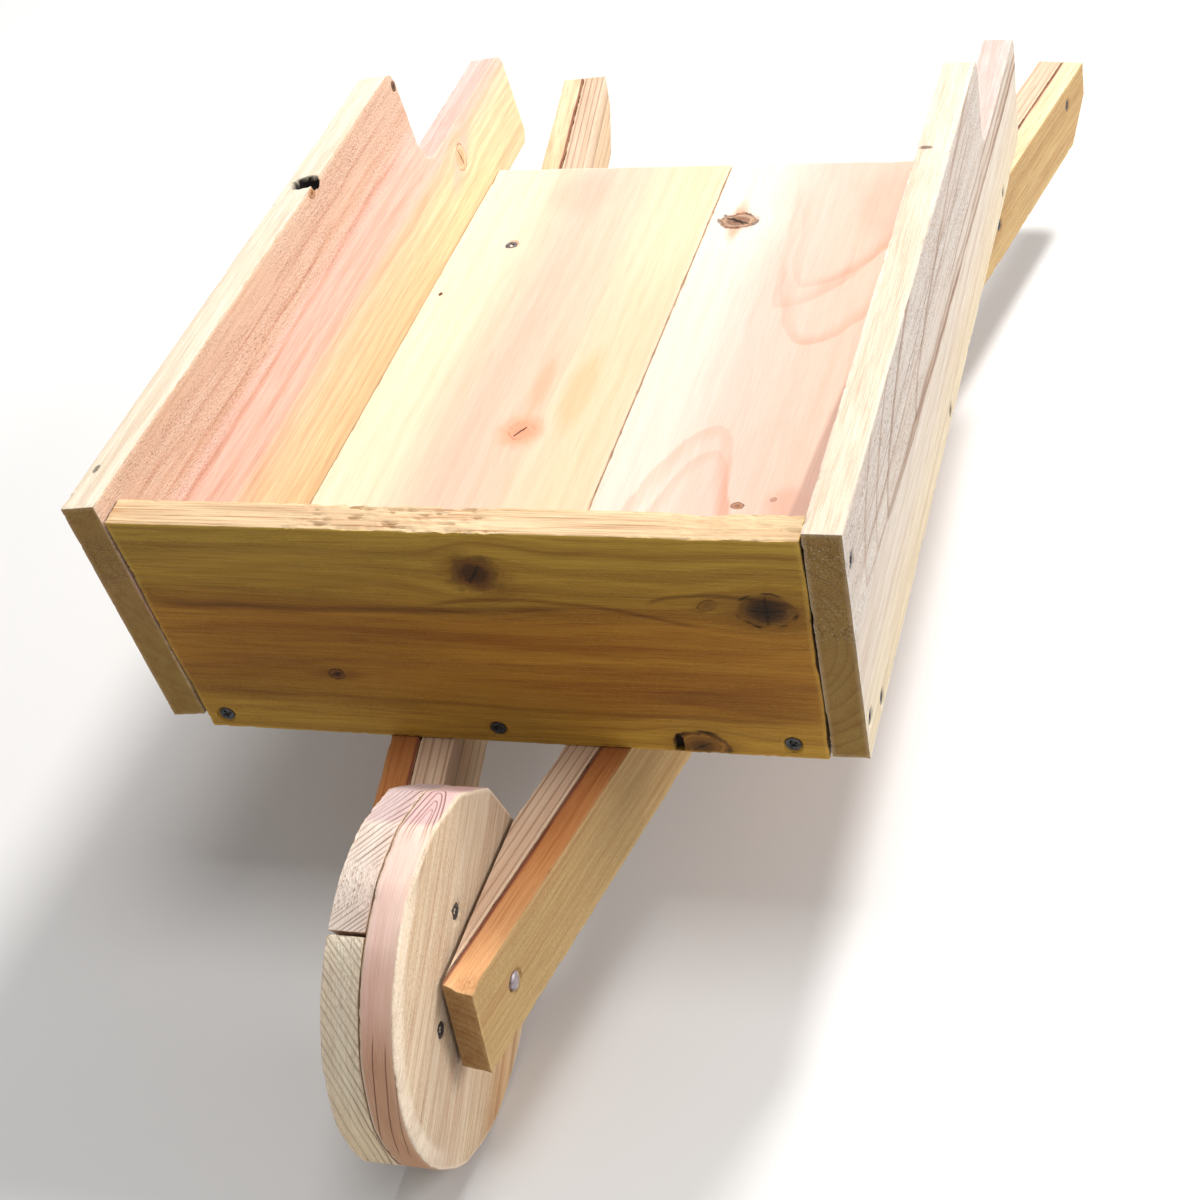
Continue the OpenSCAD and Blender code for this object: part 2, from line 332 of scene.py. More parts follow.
    # long soft streaks and fine fibres
    st = g.noise(g.comb(g.mad(u, 0.006, seed * 5), g.mul(v1, 0.16), g.mul(w, 0.16)), 1.0, 3.0, 0.6)
    k = s.get("streak", 0.16)
    col = g.mix(g.step(st, 0.35, 0.75, 0.0, k * 1.7), col, lin(s.get("streak_dark", (206, 150, 104))), "MULTIPLY")
    col = g.mix(g.step(st, 0.5, 0.22, 0.0, k * 2.2), col, lin(s.get("streak_light", (255, 240, 214))), "SCREEN") if s.get("screen") else col
    fib = g.noise(g.comb(g.mad(u, 0.03 if not end else 0.9, seed), g.mul(v, 1.7), g.mul(w, 1.7)), 1.0, 3.0, 0.7)
    kf = s.get("fibre", 0.10)
    col = g.mix(g.step(fib, 0.38, 0.70, 0.0, kf * 2.4), col, lin((165, 118, 78)), "MULTIPLY")
    col = g.mix(line, col, lin(s.get("late", (168, 112, 74))), s.get("late_mode", "MULTIPLY"))

    # rough sawn flecks
    fl = s.get("fleck", 0.0)
    heights = [(fib, 0.00016), (line, -0.00012)]
    if fl:
        fa, fb_ = s.get("fleck_span", (-1e4, 1e4))
        nf = g.noise(g.comb(g.mad(u, 0.42, seed), g.mul(v, 1.25), g.mul(w, 1.25)), 1.0, 2.0, 0.55)
        area = g.mul(g.step(v, fa - 8, fa + 8), g.step(v, fb_ - 8, fb_ + 8, 1.0, 0.0))
        area = g.mul(area, g.step(g.noise(g.comb(g.mad(u, 0.01, seed), g.mul(v, 0.05), 0.0), 1.0, 2.0), 0.3, 0.6, 0.35, 1.0))
        if s.get("fleck_u"):
            fu0, fu1 = s["fleck_u"]
            area = g.mul(area, g.mul(g.step(u, fu0 - 6, fu0 + 6), g.step(u, fu1 - 6, fu1 + 6, 1.0, 0.0)))
        area = g.mul(area, g.sub(1.0, g.mul(top, s.get("top_calm", 0.8))))
        dark = g.mul(g.step(nf, 0.575, 0.68), area)
        lite = g.mul(g.step(nf, 0.42, 0.30), area)
        col = g.mix(g.mul(dark, fl), col, lin(s.get("fleck_dark", (150, 104, 66))), "MULTIPLY")
        col = g.mix(g.mul(lite, fl * 0.35), col, lin((255, 247, 230)))
        heights.append((g.mul(nf, area), 0.0011))

    # knots
    for k, du, dv, r, r2 in knots:
        hc = k.get("halo")
        if hc:
            hu, hv = k.get("halo_size", (2.6, 1.5))
            x, y = g.mul(du, 1 / (k["a"] * hu)), g.mul(dv, 1 / (k["b"] * hv))
            if k.get("flare"):  # flames along the grain, above and below the knot
                y = g.mul(y, g.add(1.0, g.mul(g.m("ABSOLUTE", x), k["flare"])))
            rr = g.add(g.m("SQRT", g.add(g.mul(x, x), g.mul(y, y))), g.mul(g.sub(wob, 0.5), 0.5))
            col = g.mix(g.mul(g.mul(g.step(rr, 0.25, 1.0, 1.0, 0.0), k.get("halo_k", 0.6)), off_top), col, lin(hc))
        rings = g.m("FRACT", g.add(g.mul(r, k.get("rings", 3.5)), g.mul(g.sub(fib, 0.5), 0.6)))
        dark, mid, light = k.get("cols", ((52, 34, 24), (112, 74, 46), (160, 112, 74)))
        core = g.ramp(r, [(0.0, dark), (0.35, mid), (0.72, light), (0.9, mid), (1.0, dark)], "EASE")
        core = g.mix(g.mul(g.step(rings, 0.45, 0.95), k.get("ring_k", 0.4)), core, lin(dark))
        core = g.mix(g.step(wob, 0.45, 0.7, 0.0, 0.5), core, lin(dark))
        mask = g.mul(g.mul(g.step(r, k.get("hard", 0.86), 1.08, 1.0, 0.0), k.get("k", 1.0)), off_top)
        col = g.mix(mask, col, core)
        rim = g.mul(g.step(g.m("ABSOLUTE", g.sub(r, 1.0)), 0.0, k.get("rim_w", 0.16), 1.0, 0.0), off_top)
        # a broken bark ring
        rim = g.mul(rim, g.step(g.noise(g.comb(g.mul(du, 0.12), g.mul(dv, 0.12), seed), 1.0, 1.0), 0.35, 0.6))
        col = g.mix(g.mul(rim, k.get("rim", 0.8)), col, lin(k.get("rim_col", (44, 28, 20))))
        heights.append((mask, 0.0001))
        heights.append((rim, -0.0005))
        for ang, half, r_out in k.get("cracks", []):
            c_, s_ = math.cos(math.radians(ang)), math.sin(math.radians(ang))
            across = g.add(g.sub(g.mul(dv, c_), g.mul(du, s_)), g.mul(g.sub(wob, 0.5), 1.6))
            ck = g.mul(g.step(g.m("ABSOLUTE", across), half, half * 2.2, 1.0, 0.0), g.step(r, r_out * 0.8, r_out, 1.0, 0.0))
            ck = g.mul(ck, off_top)
            col = g.mix(g.mul(ck, k.get("crack_k", 0.9)), col, lin((26, 17, 12)))
            heights.append((ck, -0.0012))

    for mark in s.get("marks", []):  # drawn grain lines: a curve v(u), width, colour, strength, u range
        pts, width, c, kk = mark
        coeff = np.polyfit([p[0] for p in pts], [p[1] for p in pts], min(len(pts) - 1, 4))
        f = float(coeff[0])
        acc = None
        for cf in coeff[1:]:
            acc = g.mad(u, f if acc is None else acc, float(cf)) if acc is None else g.mad(acc, u, float(cf))
        off = g.add(g.sub(v, acc), g.mul(g.sub(n2, 0.5), s.get("mark_wander", 5.0)))
        a0, a1 = pts[0][0], pts[-1][0]
        fade = g.mul(g.step(u, a0, a0 + 0.12 * (a1 - a0)), g.step(u, a1 - 0.12 * (a1 - a0), a1, 1.0, 0.0))
        ln = g.mul(g.mul(g.mul(g.step(g.m("ABSOLUTE", off), 0.0, width, 1.0, 0.0), fade), kk), off_top)
        col = g.mix(ln, col, lin(c), "MULTIPLY")

    for arc in s.get("arcs", []):  # growth rings cut into arches: u = u0 + k (v - v0)^2, with its own k on each side
        au, av, kl, kr, width, c, kk = arc[:7]
        reach = arc[7] if len(arc) > 7 else 1e6
        wob2 = g.noise(g.comb(g.mad(u, 0.03, seed), g.mul(v, 0.09), 2.0), 1.0, 2.0)
        dv_ = g.add(g.sub(v, av), g.mul(g.sub(wob2, 0.5), s.get("arc_wander", 5.0)))
        kk_ = g.step(dv_, -s.get("arc_turn", 4.0), s.get("arc_turn", 4.0), kl, kr)
        f = g.sub(g.sub(u, au), g.mul(kk_, g.mul(dv_, dv_)))
        slope = g.m("SQRT", g.add(1.0, g.m("POWER", g.mul(g.mul(kk_, dv_), 2.0), 2.0)))
        dist = g.m("DIVIDE", f, slope)
        # sharp on one side, fading into the wood on the other
        inner = -1.0 if (kl + kr) < 0 else 1.0
        sd = g.mul(dist, inner)
        ln = g.mul(g.step(sd, -width, -width * 0.15), g.step(sd, 0.0, width * s.get("arc_fade", 5.0), 1.0, 0.0))
        away = g.step(g.m("ABSOLUTE", g.sub(u, au)), reach * 0.5, reach, 1.0, 0.0)
        ln = g.mul(g.mul(g.mul(ln, away), g.step(patch, 0.25, 0.6, kk * 0.55, kk)), off_top)
        col = g.mix(ln, col, lin(c), "MULTIPLY")
    for ku, kw, ka, kb in s.get("top_knots", []):
        x, y = g.mul(g.sub(u, ku), 1 / ka), g.mul(g.sub(w, kw), 1 / kb)
        r = g.add(g.m("SQRT", g.add(g.mul(x, x), g.mul(y, y))), g.mul(g.sub(wob, 0.5), 1.2))
        col = g.mix(g.mul(g.mul(g.step(r, 0.6, 1.1, 1.0, 0.0), top), 0.75), col, lin((70, 46, 28)))

    # worn, furry edges
    e = g.attr("edge")
    col = g.mix(g.mul(e, g.step(fib, 0.3, 0.7, 0.05, s.get("edge_k", 0.38))), col, lin(s.get("edge_col", (246, 220, 176))))
    # hole: near-black painted shade inside the knot hole and the void, which the mesh only dents.
    col = g.mix(g.attr("hole"), col, lin((22, 14, 9)))
    # tint multiplies the body colour. With top_free the upward faces are left out, so on the front board the face
    # carries painted shade while the top edge stays light.
    if s.get("tint") and not end:
        col = g.mix(g.sub(1.0, g.mul(top, 0.97)) if s.get("top_free") else 1.0, col, tuple(s["tint"]) + (1.0,), "MULTIPLY")
    g.put(g.bsdf.inputs["Base Color"], col)
    rough = g.add(g.step(fib, 0.2, 0.8, 0.62, 0.80), g.mul(line, -0.10))
    g.put(g.bsdf.inputs["Roughness"], rough)
    g.bsdf.inputs["Specular IOR Level"].default_value = 0.28
    h = None
    for sock, amp in heights:
        term = g.mul(sock, amp * 1000)
        h = term if h is None else g.add(h, term)
    g.put(g.bsdf.inputs["Normal"], g.bump(h, 0.001, s.get("bump", 0.85)))
    return g.mat


def steel(name, base=(142, 144, 150), dark=(84, 82, 84), rough=(0.28, 0.55), metal=0.85, rust=0.25):
    g = Nodes(name)
    tc = g.t.nodes.new("ShaderNodeTexCoord")
    P = g.scale(tc.outputs["Object"], 1000.0)
    a = g.noise(P, 0.35, 4.0, 0.6)
    b = g.noise(P, 2.6, 3.0, 0.6)
    col = g.mix(g.step(a, 0.35, 0.7), lin(base), lin(dark))
    col = g.mix(g.mul(g.step(b, 0.55, 0.75), rust), col, lin((120, 76, 48)))
    g.put(g.bsdf.inputs["Base Color"], col)
    g.bsdf.inputs["Metallic"].default_value = metal
    g.put(g.bsdf.inputs["Roughness"], g.step(b, 0.3, 0.7, rough[0], rough[1]))
    g.put(g.bsdf.inputs["Normal"], g.bump(b, 0.0004, 0.4))
    return g.mat


# ---------------------------------------------------------------- mesh kit
def lines(a, b, step, fine=()):
    """Grid positions from a to b about step apart, closer in each (centre, half, step) of fine."""
    xs = list(np.linspace(a, b, max(2, int(round((b - a) / step))) + 1))
    xs += [a + 2.6, b - 2.6] if b - a > 12 else []
    fixed = [a, b]
    for c, half, st in fine:
        xs = [x for x in xs if not (c - half - 0.3 < x < c + half + 0.3)]
        xs += [x for x in np.arange(c - half, c + half + 1e-6, st) if a + 2.0 < x < b - 2.0]
    xs = sorted(set([round(float(x), 4) for x in xs] + fixed))
    out = [xs[0]]
    for x in xs[1:]:
        if x - out[-1] >= 0.45:
            out.append(x)
    if out[-1] != xs[-1]:
        out[-1] = xs[-1]
    return np.array(out)


def grid_solid(us, vs, ws, keep=None):
    """The skin of a block of cells: vertices (nominal u, v, w), faces and, per face, which side it is on."""
    nu, nv, nw = len(us) - 1, len(vs) - 1, len(ws) - 1
    ok = np.ones((nu, nv), bool) if keep is None else keep
    ids, verts, faces, side = {}, [], [], []

    def vid(i, j, k):
        key = (i, j, k)
        n = ids.get(key)
        if n is None:
            n = ids[key] = len(verts)
            verts.append((us[i], vs[j], ws[k]))
        return n

    for i in range(nu):
        for j in range(nv):
            if not ok[i, j]:
                continue
            faces.append((vid(i, j, nw), vid(i + 1, j, nw), vid(i + 1, j + 1, nw), vid(i, j + 1, nw)))
            side.append("w1")
            faces.append((vid(i, j, 0), vid(i, j + 1, 0), vid(i + 1, j + 1, 0), vid(i + 1, j, 0)))
            side.append("w0")
            if i == 0 or not ok[i - 1, j]:
                for k in range(nw):
                    faces.append((vid(i, j, k), vid(i, j, k + 1), vid(i, j + 1, k + 1), vid(i, j + 1, k)))
                    side.append("u0")
            if i == nu - 1 or not ok[i + 1, j]:
                for k in range(nw):
                    faces.append((vid(i + 1, j, k), vid(i + 1, j + 1, k), vid(i + 1, j + 1, k + 1), vid(i + 1, j, k + 1)))
                    side.append("u1")
            if j == 0 or not ok[i, j - 1]:
                for k in range(nw):
                    faces.append((vid(i, j, k), vid(i + 1, j, k), vid(i + 1, j, k + 1), vid(i, j, k + 1)))
                    side.append("v0")
            if j == nv - 1 or not ok[i, j + 1]:
                for k in range(nw):
                    faces.append((vid(i, j + 1, k), vid(i, j + 1, k + 1), vid(i + 1, j + 1, k + 1), vid(i + 1, j + 1, k)))
                    side.append("v1")
    return np.array(verts, float), faces, side


def coords(me):
    a = np.empty(len(me.vertices) * 3)
    me.vertices.foreach_get("co", a)
    return a.reshape(-1, 3)


def normals(me):
    a = np.empty(len(me.vertices) * 3)
    me.vertices.foreach_get("normal", a)
    return a.reshape(-1, 3)


EXTRA = {}


def finish_solid(name, matrix, P, faces, ends, mats, node, body, slot, bevel=0.9, post=None, seed=1, sharp=32.0, wave=0.28, rim=None, tops=True):
    """Makes the object from points in the board's frame in mm: eases its sharp edges, then roughens it."""
    bm = bmesh.new()
    vs = [bm.verts.new(p) for p in P]
    bm.verts.ensure_lookup_table()
    for f, e in zip(faces, ends):
        fc = bm.faces.new([vs[i] for i in f])
        fc.material_index = 1 if e else 0
        fc.smooth = True
    bm.normal_update()
    edge_layer = bm.verts.layers.float.new("edge")
    edges = [e for e in bm.edges if len(e.link_faces) == 2 and e.calc_face_angle(0.0) > math.radians(sharp)]
    if bevel:
        res = bmesh.ops.bevel(bm, geom=edges, offset=bevel, offset_type="OFFSET", segments=3, profile=0.5, affect="EDGES", clamp_overlap=True, material=0)
        for v in res["verts"]:
            v[edge_layer] = 1.0
    bm.normal_update()
    for f in bm.faces:
        f.smooth = True
    me = bpy.data.meshes.new(name)
    bm.to_mesh(me)
    bm.free()
    Q, N = coords(me), normals(me)
    e = np.zeros(len(Q))
    me.attributes["edge"].data.foreach_get("value", e)
    # the box that the board may fill
    lo, hi = Q.min(0), Q.max(0)
    long_wave = fbm(Q * [0.008, 0.03, 0.03], seed, 2) * wave
    saw = fbm(Q * [0.10, 0.55, 0.55], seed + 20, 2) * 0.10
    chips = np.clip(fbm(Q * [0.05, 0.05, 0.05], seed + 5, 2) * 1.6 + fbm(Q * [0.22, 0.6, 0.6], seed + 9, 2) * 1.2 - 0.1, 0, 1) * e
    Q = Q + N * (np.minimum(long_wave, 0.0) + saw - 0.06 - 0.75 * chips)[:, None]
    if post:
        Q = post(Q, N, e)
    Q = np.clip(Q, lo, hi)
    W = np.array(matrix)
    me.vertices.foreach_set("co", ((Q @ W[:3, :3].T + W[:3, 3]) * MM).ravel())
    grain = me.attributes.new("grain", "FLOAT_VECTOR", "POINT")
    grain.data.foreach_set("vector", Q.ravel())
    tp = me.attributes.new("top", "FLOAT", "POINT")
    tp.data.foreach_set("value", smooth(0.55, 0.85, N[:, 1]) if tops else np.zeros(len(Q)))
    ho = me.attributes.new("hole", "FLOAT", "POINT")
    ho.data.foreach_set("value", EXTRA.pop("hole", np.zeros(len(Q))))
    if "edge" in EXTRA:
        me.attributes["edge"].data.foreach_set("value", EXTRA.pop("edge"))
    if rim:
        vi = np.empty(len(me.loops), int)
        me.loops.foreach_get("vertex_index", vi)
        uvw = rim(Q)[vi]
        starts = np.empty(len(me.polygons), int)
        me.polygons.foreach_get("loop_start", starts)
        tot = np.empty(len(me.polygons), int)
        me.polygons.foreach_get("loop_total", tot)
        fid = np.repeat(np.arange(len(starts)), tot)
        mx = np.full(len(starts), -1e9)
        np.maximum.at(mx, fid, uvw[:, 0])
        wrap = (uvw[:, 0] < 0) & (mx[fid] > 200)
        uvw[wrap, 0] += 2 * math.pi * 88.7
        ra = me.attributes.new("rim", "FLOAT_VECTOR", "CORNER")
        ra.data.foreach_set("vector", uvw.ravel())
    me.update()
    for mt in mats:
        me.materials.append(mt)
    ob = bpy.data.objects.new(name, me)
    scene.collection.objects.link(ob)
    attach(ob, body)
    if node:
        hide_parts(node)
    try:
        me.set_sharp_from_angle(angle=math.radians(50))
    except AttributeError:
        pass
    return ob


def dimples(Q, N, spots, face_w, r_in=4.2, r_out=5.3, depth=1.3):
    for su, sv in spots:
        r = np.hypot(Q[:, 0] - su, Q[:, 1] - sv)
        on = np.abs(Q[:, 2] - face_w) < 0.8
        d = depth * (1 - smooth(r_in, r_out, r)) - 0.18 * np.exp(-(((r - r_out - 0.5) / 0.6) ** 2))
        Q[on] = Q[on] - N[on] * d[on][:, None]
    return Q


def board(name, matrix, us, vs, ws, warp, mats, node, body, slot, keep=None, end_sides=("u0", "u1"), **kw):
    P, faces, side = grid_solid(us, vs, ws, keep)
    if warp:
        P = warp(P)
    return finish_solid(name, matrix, P, faces, [s in end_sides for s in side], mats, node, body, slot, **kw)


def near(spots, half=6.0, st=0.85):
    return [(s, half, st) for s in spots]


# ---------------------------------------------------------------- colours
KNOT_DARK = ((46, 30, 22), (86, 56, 36), (122, 84, 54))
KNOT_TAN = ((96, 58, 34), (176, 116, 70), (214, 160, 110))

SPEC = {}
# Front board: the darker, more saturated brown of its bands and tint is partly darker wood and partly painted shade for
# its shaded front face. top_free leaves the upward top edge out, so that edge keeps a light cream as painted light.
SPEC["front"] = dict(
    seed=1, span=(-5, 145), v0=36, w0=-46, ring=7.0, ring_strength=0.26, warp=5.5, tw=0.02, um=60, tint=(1.36, 1.24, 0.56), top_free=True,
    bands=[(-5, (178, 146, 84)), (18, (172, 138, 78)), (28, (160, 122, 64)), (44, (156, 114, 58)), (62, (164, 122, 62)),
           (84, (158, 116, 58)), (92, (148, 110, 56)), (102, (156, 126, 68)), (124, (160, 134, 76)), (145, (166, 142, 82))],
    late=(150, 104, 60), streak=0.26, fibre=0.16, fleck=0.12, streak_dark=(170, 128, 88), edge_col=(206, 176, 118), end_col=(120, 92, 54),
    top_cols=[(-190, (232, 206, 168)), (-60, (236, 210, 172)), (60, (236, 210, 172)), (180, (232, 202, 160))], top_lines=0.8, top_late=(186, 128, 76), top_k=0.98,
    knots=[dict(u=6.5, v=114, hard=0.55, a=13, b=11.5, rot=-20, cols=((46, 29, 18), (70, 45, 27), (98, 66, 38)), halo=(108, 74, 36), halo_k=0.7, halo_size=(2.2, 1.5), rings=2.2,
                ring_k=0.35, rim=0.25, rim_w=0.35, wob=0.9, cracks=[(82, 0.2, 0.6), (70, 0.2, 0.5)], crack_k=0.5),
           dict(u=146, v=97, hard=0.55, a=14.5, b=10.5, cols=((30, 20, 16), (54, 36, 26), (84, 58, 38)), halo=(108, 76, 38), halo_k=0.65, halo_size=(2.4, 1.7),
                rings=3, ring_k=0.3, cracks=[(88, 0.35, 0.9), (2, 0.25, 0.6)], crack_k=0.45, rim=0.9, rim_w=0.12, wob=0.3),
           dict(u=118, v=99, a=5, b=3.0, rot=30, cols=((96, 66, 38), (108, 76, 44), (120, 86, 50)), k=0.5, halo=(110, 78, 40), halo_k=0.6, halo_size=(2.2, 1.8), rim=0.5),
           dict(u=-83, v=43, a=4.2, b=3.6, cols=KNOT_DARK, halo=(108, 74, 36), halo_k=0.6, halo_size=(4.6, 1.6), cracks=[(20, 0.25, 0.9)], crack_k=0.45, rim=0.6, wob=0.9),
           dict(u=102, v=5, a=14, b=10.0, cols=((60, 40, 28), (100, 70, 44), (140, 100, 64)), halo=(118, 82, 40), halo_k=0.7, halo_size=(1.9, 1.6), rings=3, rim=0.9,
                cracks=[(30, 0.2, 0.5)], crack_k=0.4)],
    zones=[(95, 36, 95, 30, (140, 94, 44), 0.55), (-90, 62, 90, 24, (140, 98, 46), 0.35)],
    marks=[([(-180, 87), (-100, 88), (-20, 90), (60, 94)], 4.2, (124, 86, 48), 0.55),
           ([(-180, 70), (-60, 74), (60, 68), (165, 70)], 7.0, (190, 150, 100), 0.4),
           ([(-170, 28), (-40, 26), (60, 24), (165, 25)], 2.6, (140, 100, 60), 0.35),
           ([(-30, 92), (20, 98), (60, 95), (120, 84)], 2.4, (140, 100, 60), 0.5),
           ([(86, 96), (104, 104), (124, 106), (165, 98)], 2.2, (120, 84, 48), 0.5)],
)
SPEC["side_l"] = dict(
    seed=2, span=(-145, 5), v0=-30, w0=60, ring=5.5, ring_strength=0.15, warp=4, tw=-0.01, tint=(0.92, 1.05, 1.24),
    bands=[(-145, (232, 196, 144)), (-122, (240, 204, 150)), (-96, (242, 206, 156)), (-84, (240, 200, 158)), (-76, (238, 190, 162)),
           (-46, (238, 190, 164)), (-38, (228, 184, 152)), (-12, (222, 178, 146)), (-3, (222, 180, 146)), (5, (240, 216, 176))],
    # end_col: the dark olive of the end faces is partly darker end grain and partly painted shade for the shaded front
    # ends.
    late=(206, 150, 112), streak=0.20, fibre=0.12, fleck=0.55, fleck_span=(-50, 4), fleck_dark=(160, 104, 60), edge_col=(240, 208, 168), end_col=(149, 118, 46),
    top_cols=[(0, (246, 226, 192)), (448, (246, 226, 192)), (454, (240, 200, 178)), (640, (240, 200, 178))], top_lines=0.12, top_k=0.96,
    top_knots=[(26, -14, 4.5, 2.0)],
    knots=[dict(u=302.5, v=-3.5, a=4.6, b=3.4, cols=KNOT_TAN, halo=(214, 150, 104), halo_k=0.5, rim=0.6, rim_col=(110, 60, 34), rings=2),
           dict(u=447, v=-10, a=3.0, b=3.4, cols=KNOT_DARK, halo=(216, 160, 116), halo_k=0.5, rim=0.4),
           dict(u=506, v=-94, a=8.5, b=9.0, cols=((186, 132, 88), (222, 170, 120), (232, 186, 140)), halo=(236, 172, 144), halo_k=0.75,
                halo_size=(4.6, 1.5), rot=24, rings=1.6, rim=0.65, rim_w=0.12, rim_col=(150, 104, 68), hard=0.8, wob=0.7, cracks=[(80, 0.25, 0.8)])],
    marks=[([(20, -20), (150, -24), (300, -20), (440, -18)], 1.8, (214, 164, 124), 0.3),
           ([(20, -33), (150, -37), (300, -33), (440, -32)], 2.2, (218, 168, 128), 0.35),
           ([(20, -46), (150, -50), (300, -46), (440, -44)], 3.0, (222, 172, 138), 0.4)],
)
SPEC["side_r"] = dict(
    seed=3, span=(-145, 5), v0=-66, w0=-30, ring=7.0, ring_strength=0.22, warp=5, tw=-0.035, um=90, tint=(0.85, 1.03, 1.33),
    bands=[(-145, (218, 188, 142)), (-120, (218, 190, 150)), (-96, (214, 188, 156)), (-60, (208, 184, 156)), (-30, (204, 180, 154)), (-4, (204, 180, 154)), (5, (238, 214, 176))],
    # end_col: the dark olive of the end faces is partly darker end grain and partly painted shade for the shaded front
    # ends.
    late=(176, 146, 118), streak=0.16, fibre=0.16, fleck=0.75, fleck_span=(-66, 4), fleck_dark=(156, 122, 92), edge_col=(240, 220, 190), end_col=(149, 118, 46),
    top_cols=[(0, (254, 214, 172)), (450, (254, 214, 172)), (456, (254, 192, 166)), (640, (254, 192, 166))], top_lines=0.10, top_k=0.97,
    top_knots=[(343, 5, 2.4, 4.6)],
    arcs=[(91, -64, 1.0, 0.022, 2.0, (176, 140, 110), 0.7), (60, -60, 1.4, 0.016, 1.5, (190, 156, 126), 0.6), (30, -58, 1.4, 0.012, 1.5, (196, 160, 130), 0.5),
          (180, -68, 1.2, 0.05, 1.8, (186, 150, 120), 0.6)], arc_wander=6.0, arc_fade=3.5,
    marks=[([(290, -63), (400, -64), (480, -66), (600, -70)], 2.6, (186, 150, 120), 0.6),
           ([(0, -30), (150, -32), (300, -26), (440, -14)], 1.6, (186, 152, 120), 0.5),
           ([(0, -42), (150, -44), (300, -36), (440, -24)], 2.2, (186, 152, 120), 0.5)],
)
SPEC["floor_l"] = dict(
    seed=4, span=(-2, 172), v0=100, w0=-26, ring=9.0, ring_strength=0.08, warp=6, tw=0.01, tint=(0.96, 0.96, 1.12),
    bands=[(-2, (240, 215, 170)), (22, (240, 215, 170)), (44, (240, 213, 172)), (60, (238, 202, 168)), (92, (236, 196, 166)), (114, (238, 204, 170)),
           (134, (244, 218, 180)), (168, (244, 219, 184))],
    late=(224, 168, 126), streak=0.12, fibre=0.06, edge_col=(244, 224, 190), streak_dark=(238, 198, 162),
    knots=[dict(u=243, v=61, a=8.0, b=8.0, cols=((196, 140, 108), (222, 156, 116), (230, 164, 124)), halo=(232, 158, 114), halo_k=0.85, halo_size=(2.7, 2.4),
                rim=0.0, hard=0.3, k=0.55, rings=0.8, ring_k=0.2, wob=0.8, cracks=[(-30, 0.3, 0.75)]),
           dict(u=394, v=160, a=2.0, b=1.3, cols=KNOT_DARK, rim=0.4)],
    zones=[(285, 36, 60, 13, (238, 190, 132), 0.55), (290, 60, 45, 8, (234, 172, 128), 0.45), (520, 96, 40, 30, (234, 180, 150), 0.5)],
)
SPEC["floor_r"] = dict(
    seed=5, span=(-172, 2), v0=-92, w0=-52, ring=11.0, ring_strength=0.05, warp=4, um=330, tw=0.0, qw=0.00042, tint=(0.96, 1.03, 1.16),
    bands=[(-172, (228, 184, 154)), (-150, (232, 192, 162)), (-120, (236, 196, 168)), (-60, (238, 202, 178)), (-42, (240, 212, 188)), (-32, (246, 222, 198)), (2, (246, 224, 200))],
    late=(222, 158, 128), streak=0.10, fibre=0.05, edge_col=(246, 230, 198), streak_dark=(240, 204, 178),
    knots=[dict(u=481, v=-19.5, a=9.5, b=13.0, cols=((96, 68, 52), (150, 108, 80), (200, 158, 124)), halo=(232, 160, 122), halo_k=0.9, halo_size=(3.6, 0.95), flare=1.6,
                rings=1.6, ring_k=0.5, rim=0.9, rim_w=0.14, wob=0.6, cracks=[(66, 0.35, 0.8), (50, 0.3, 0.6)]),
           dict(u=176, v=-84, a=3.0, b=3.6, cols=((112, 62, 30), (150, 92, 50), (190, 130, 84)), rim=0.6, wob=1.2, k=0.85),
           dict(u=182, v=-103, a=2.0, b=1.6, cols=((130, 80, 50), (170, 112, 76), (200, 146, 104)), rim=0.3, wob=1.2, k=0.6)],
    zones=[(178, -112, 22, 16, (226, 160, 130), 0.5), (500, -120, 60, 34, (234, 178, 150), 0.6)],
    arcs=[(377, -66, 0.022, 1.1, 2.0, (240, 208, 192), 0.42, 170), (400, -76, 0.020, 0.5, 1.6, (242, 214, 200), 0.45, 140), (336, -90, 0.03, 0.10, 1.8, (240, 206, 190), 0.5, 110),
          (250, -58, -0.20, -0.055, 2.2, (240, 204, 186), 0.45, 150), (226, -61, -0.20, -0.08, 1.8, (242, 212, 196), 0.4, 120)],
    arc_wander=8.0, arc_fade=7.0, wedge=(-113.0, 174.0, 0.072, 326.0, (196, 156, 134), 0.85),
)
SPEC["rail_out"] = dict(
    seed=6, span=(-55, 3), v0=-80, w0=-24, ring=4.5, ring_strength=0.25, warp=2.5, tint=(0.93, 1.03, 1.14),
    bands=[(-55, (196, 160, 104)), (-34, (192, 156, 100)), (-14, (188, 150, 94)), (3, (190, 152, 96))],
    late=(176, 134, 84), streak=0.22, fibre=0.16, fleck=0.22, edge_col=(226, 186, 128), end_col=(178, 142, 92),
    # top_cols along the outer layer's top: orange wood, darkest from about u = 10 to 420 as painted shadow of the tray,
    # and lighter towards the front tip and the handles as painted light where the tops are lit.
    top_cols=[(-175, (238, 178, 122)), (-80, (208, 136, 76)), (10, (184, 110, 56)), (420, (196, 120, 62)), (640, (240, 204, 156)), (840, (246, 218, 176))], top_k=0.95, top_lines=0.4,
    edge_bands=(13.4, 15.2, (138, 76, 54)),
)
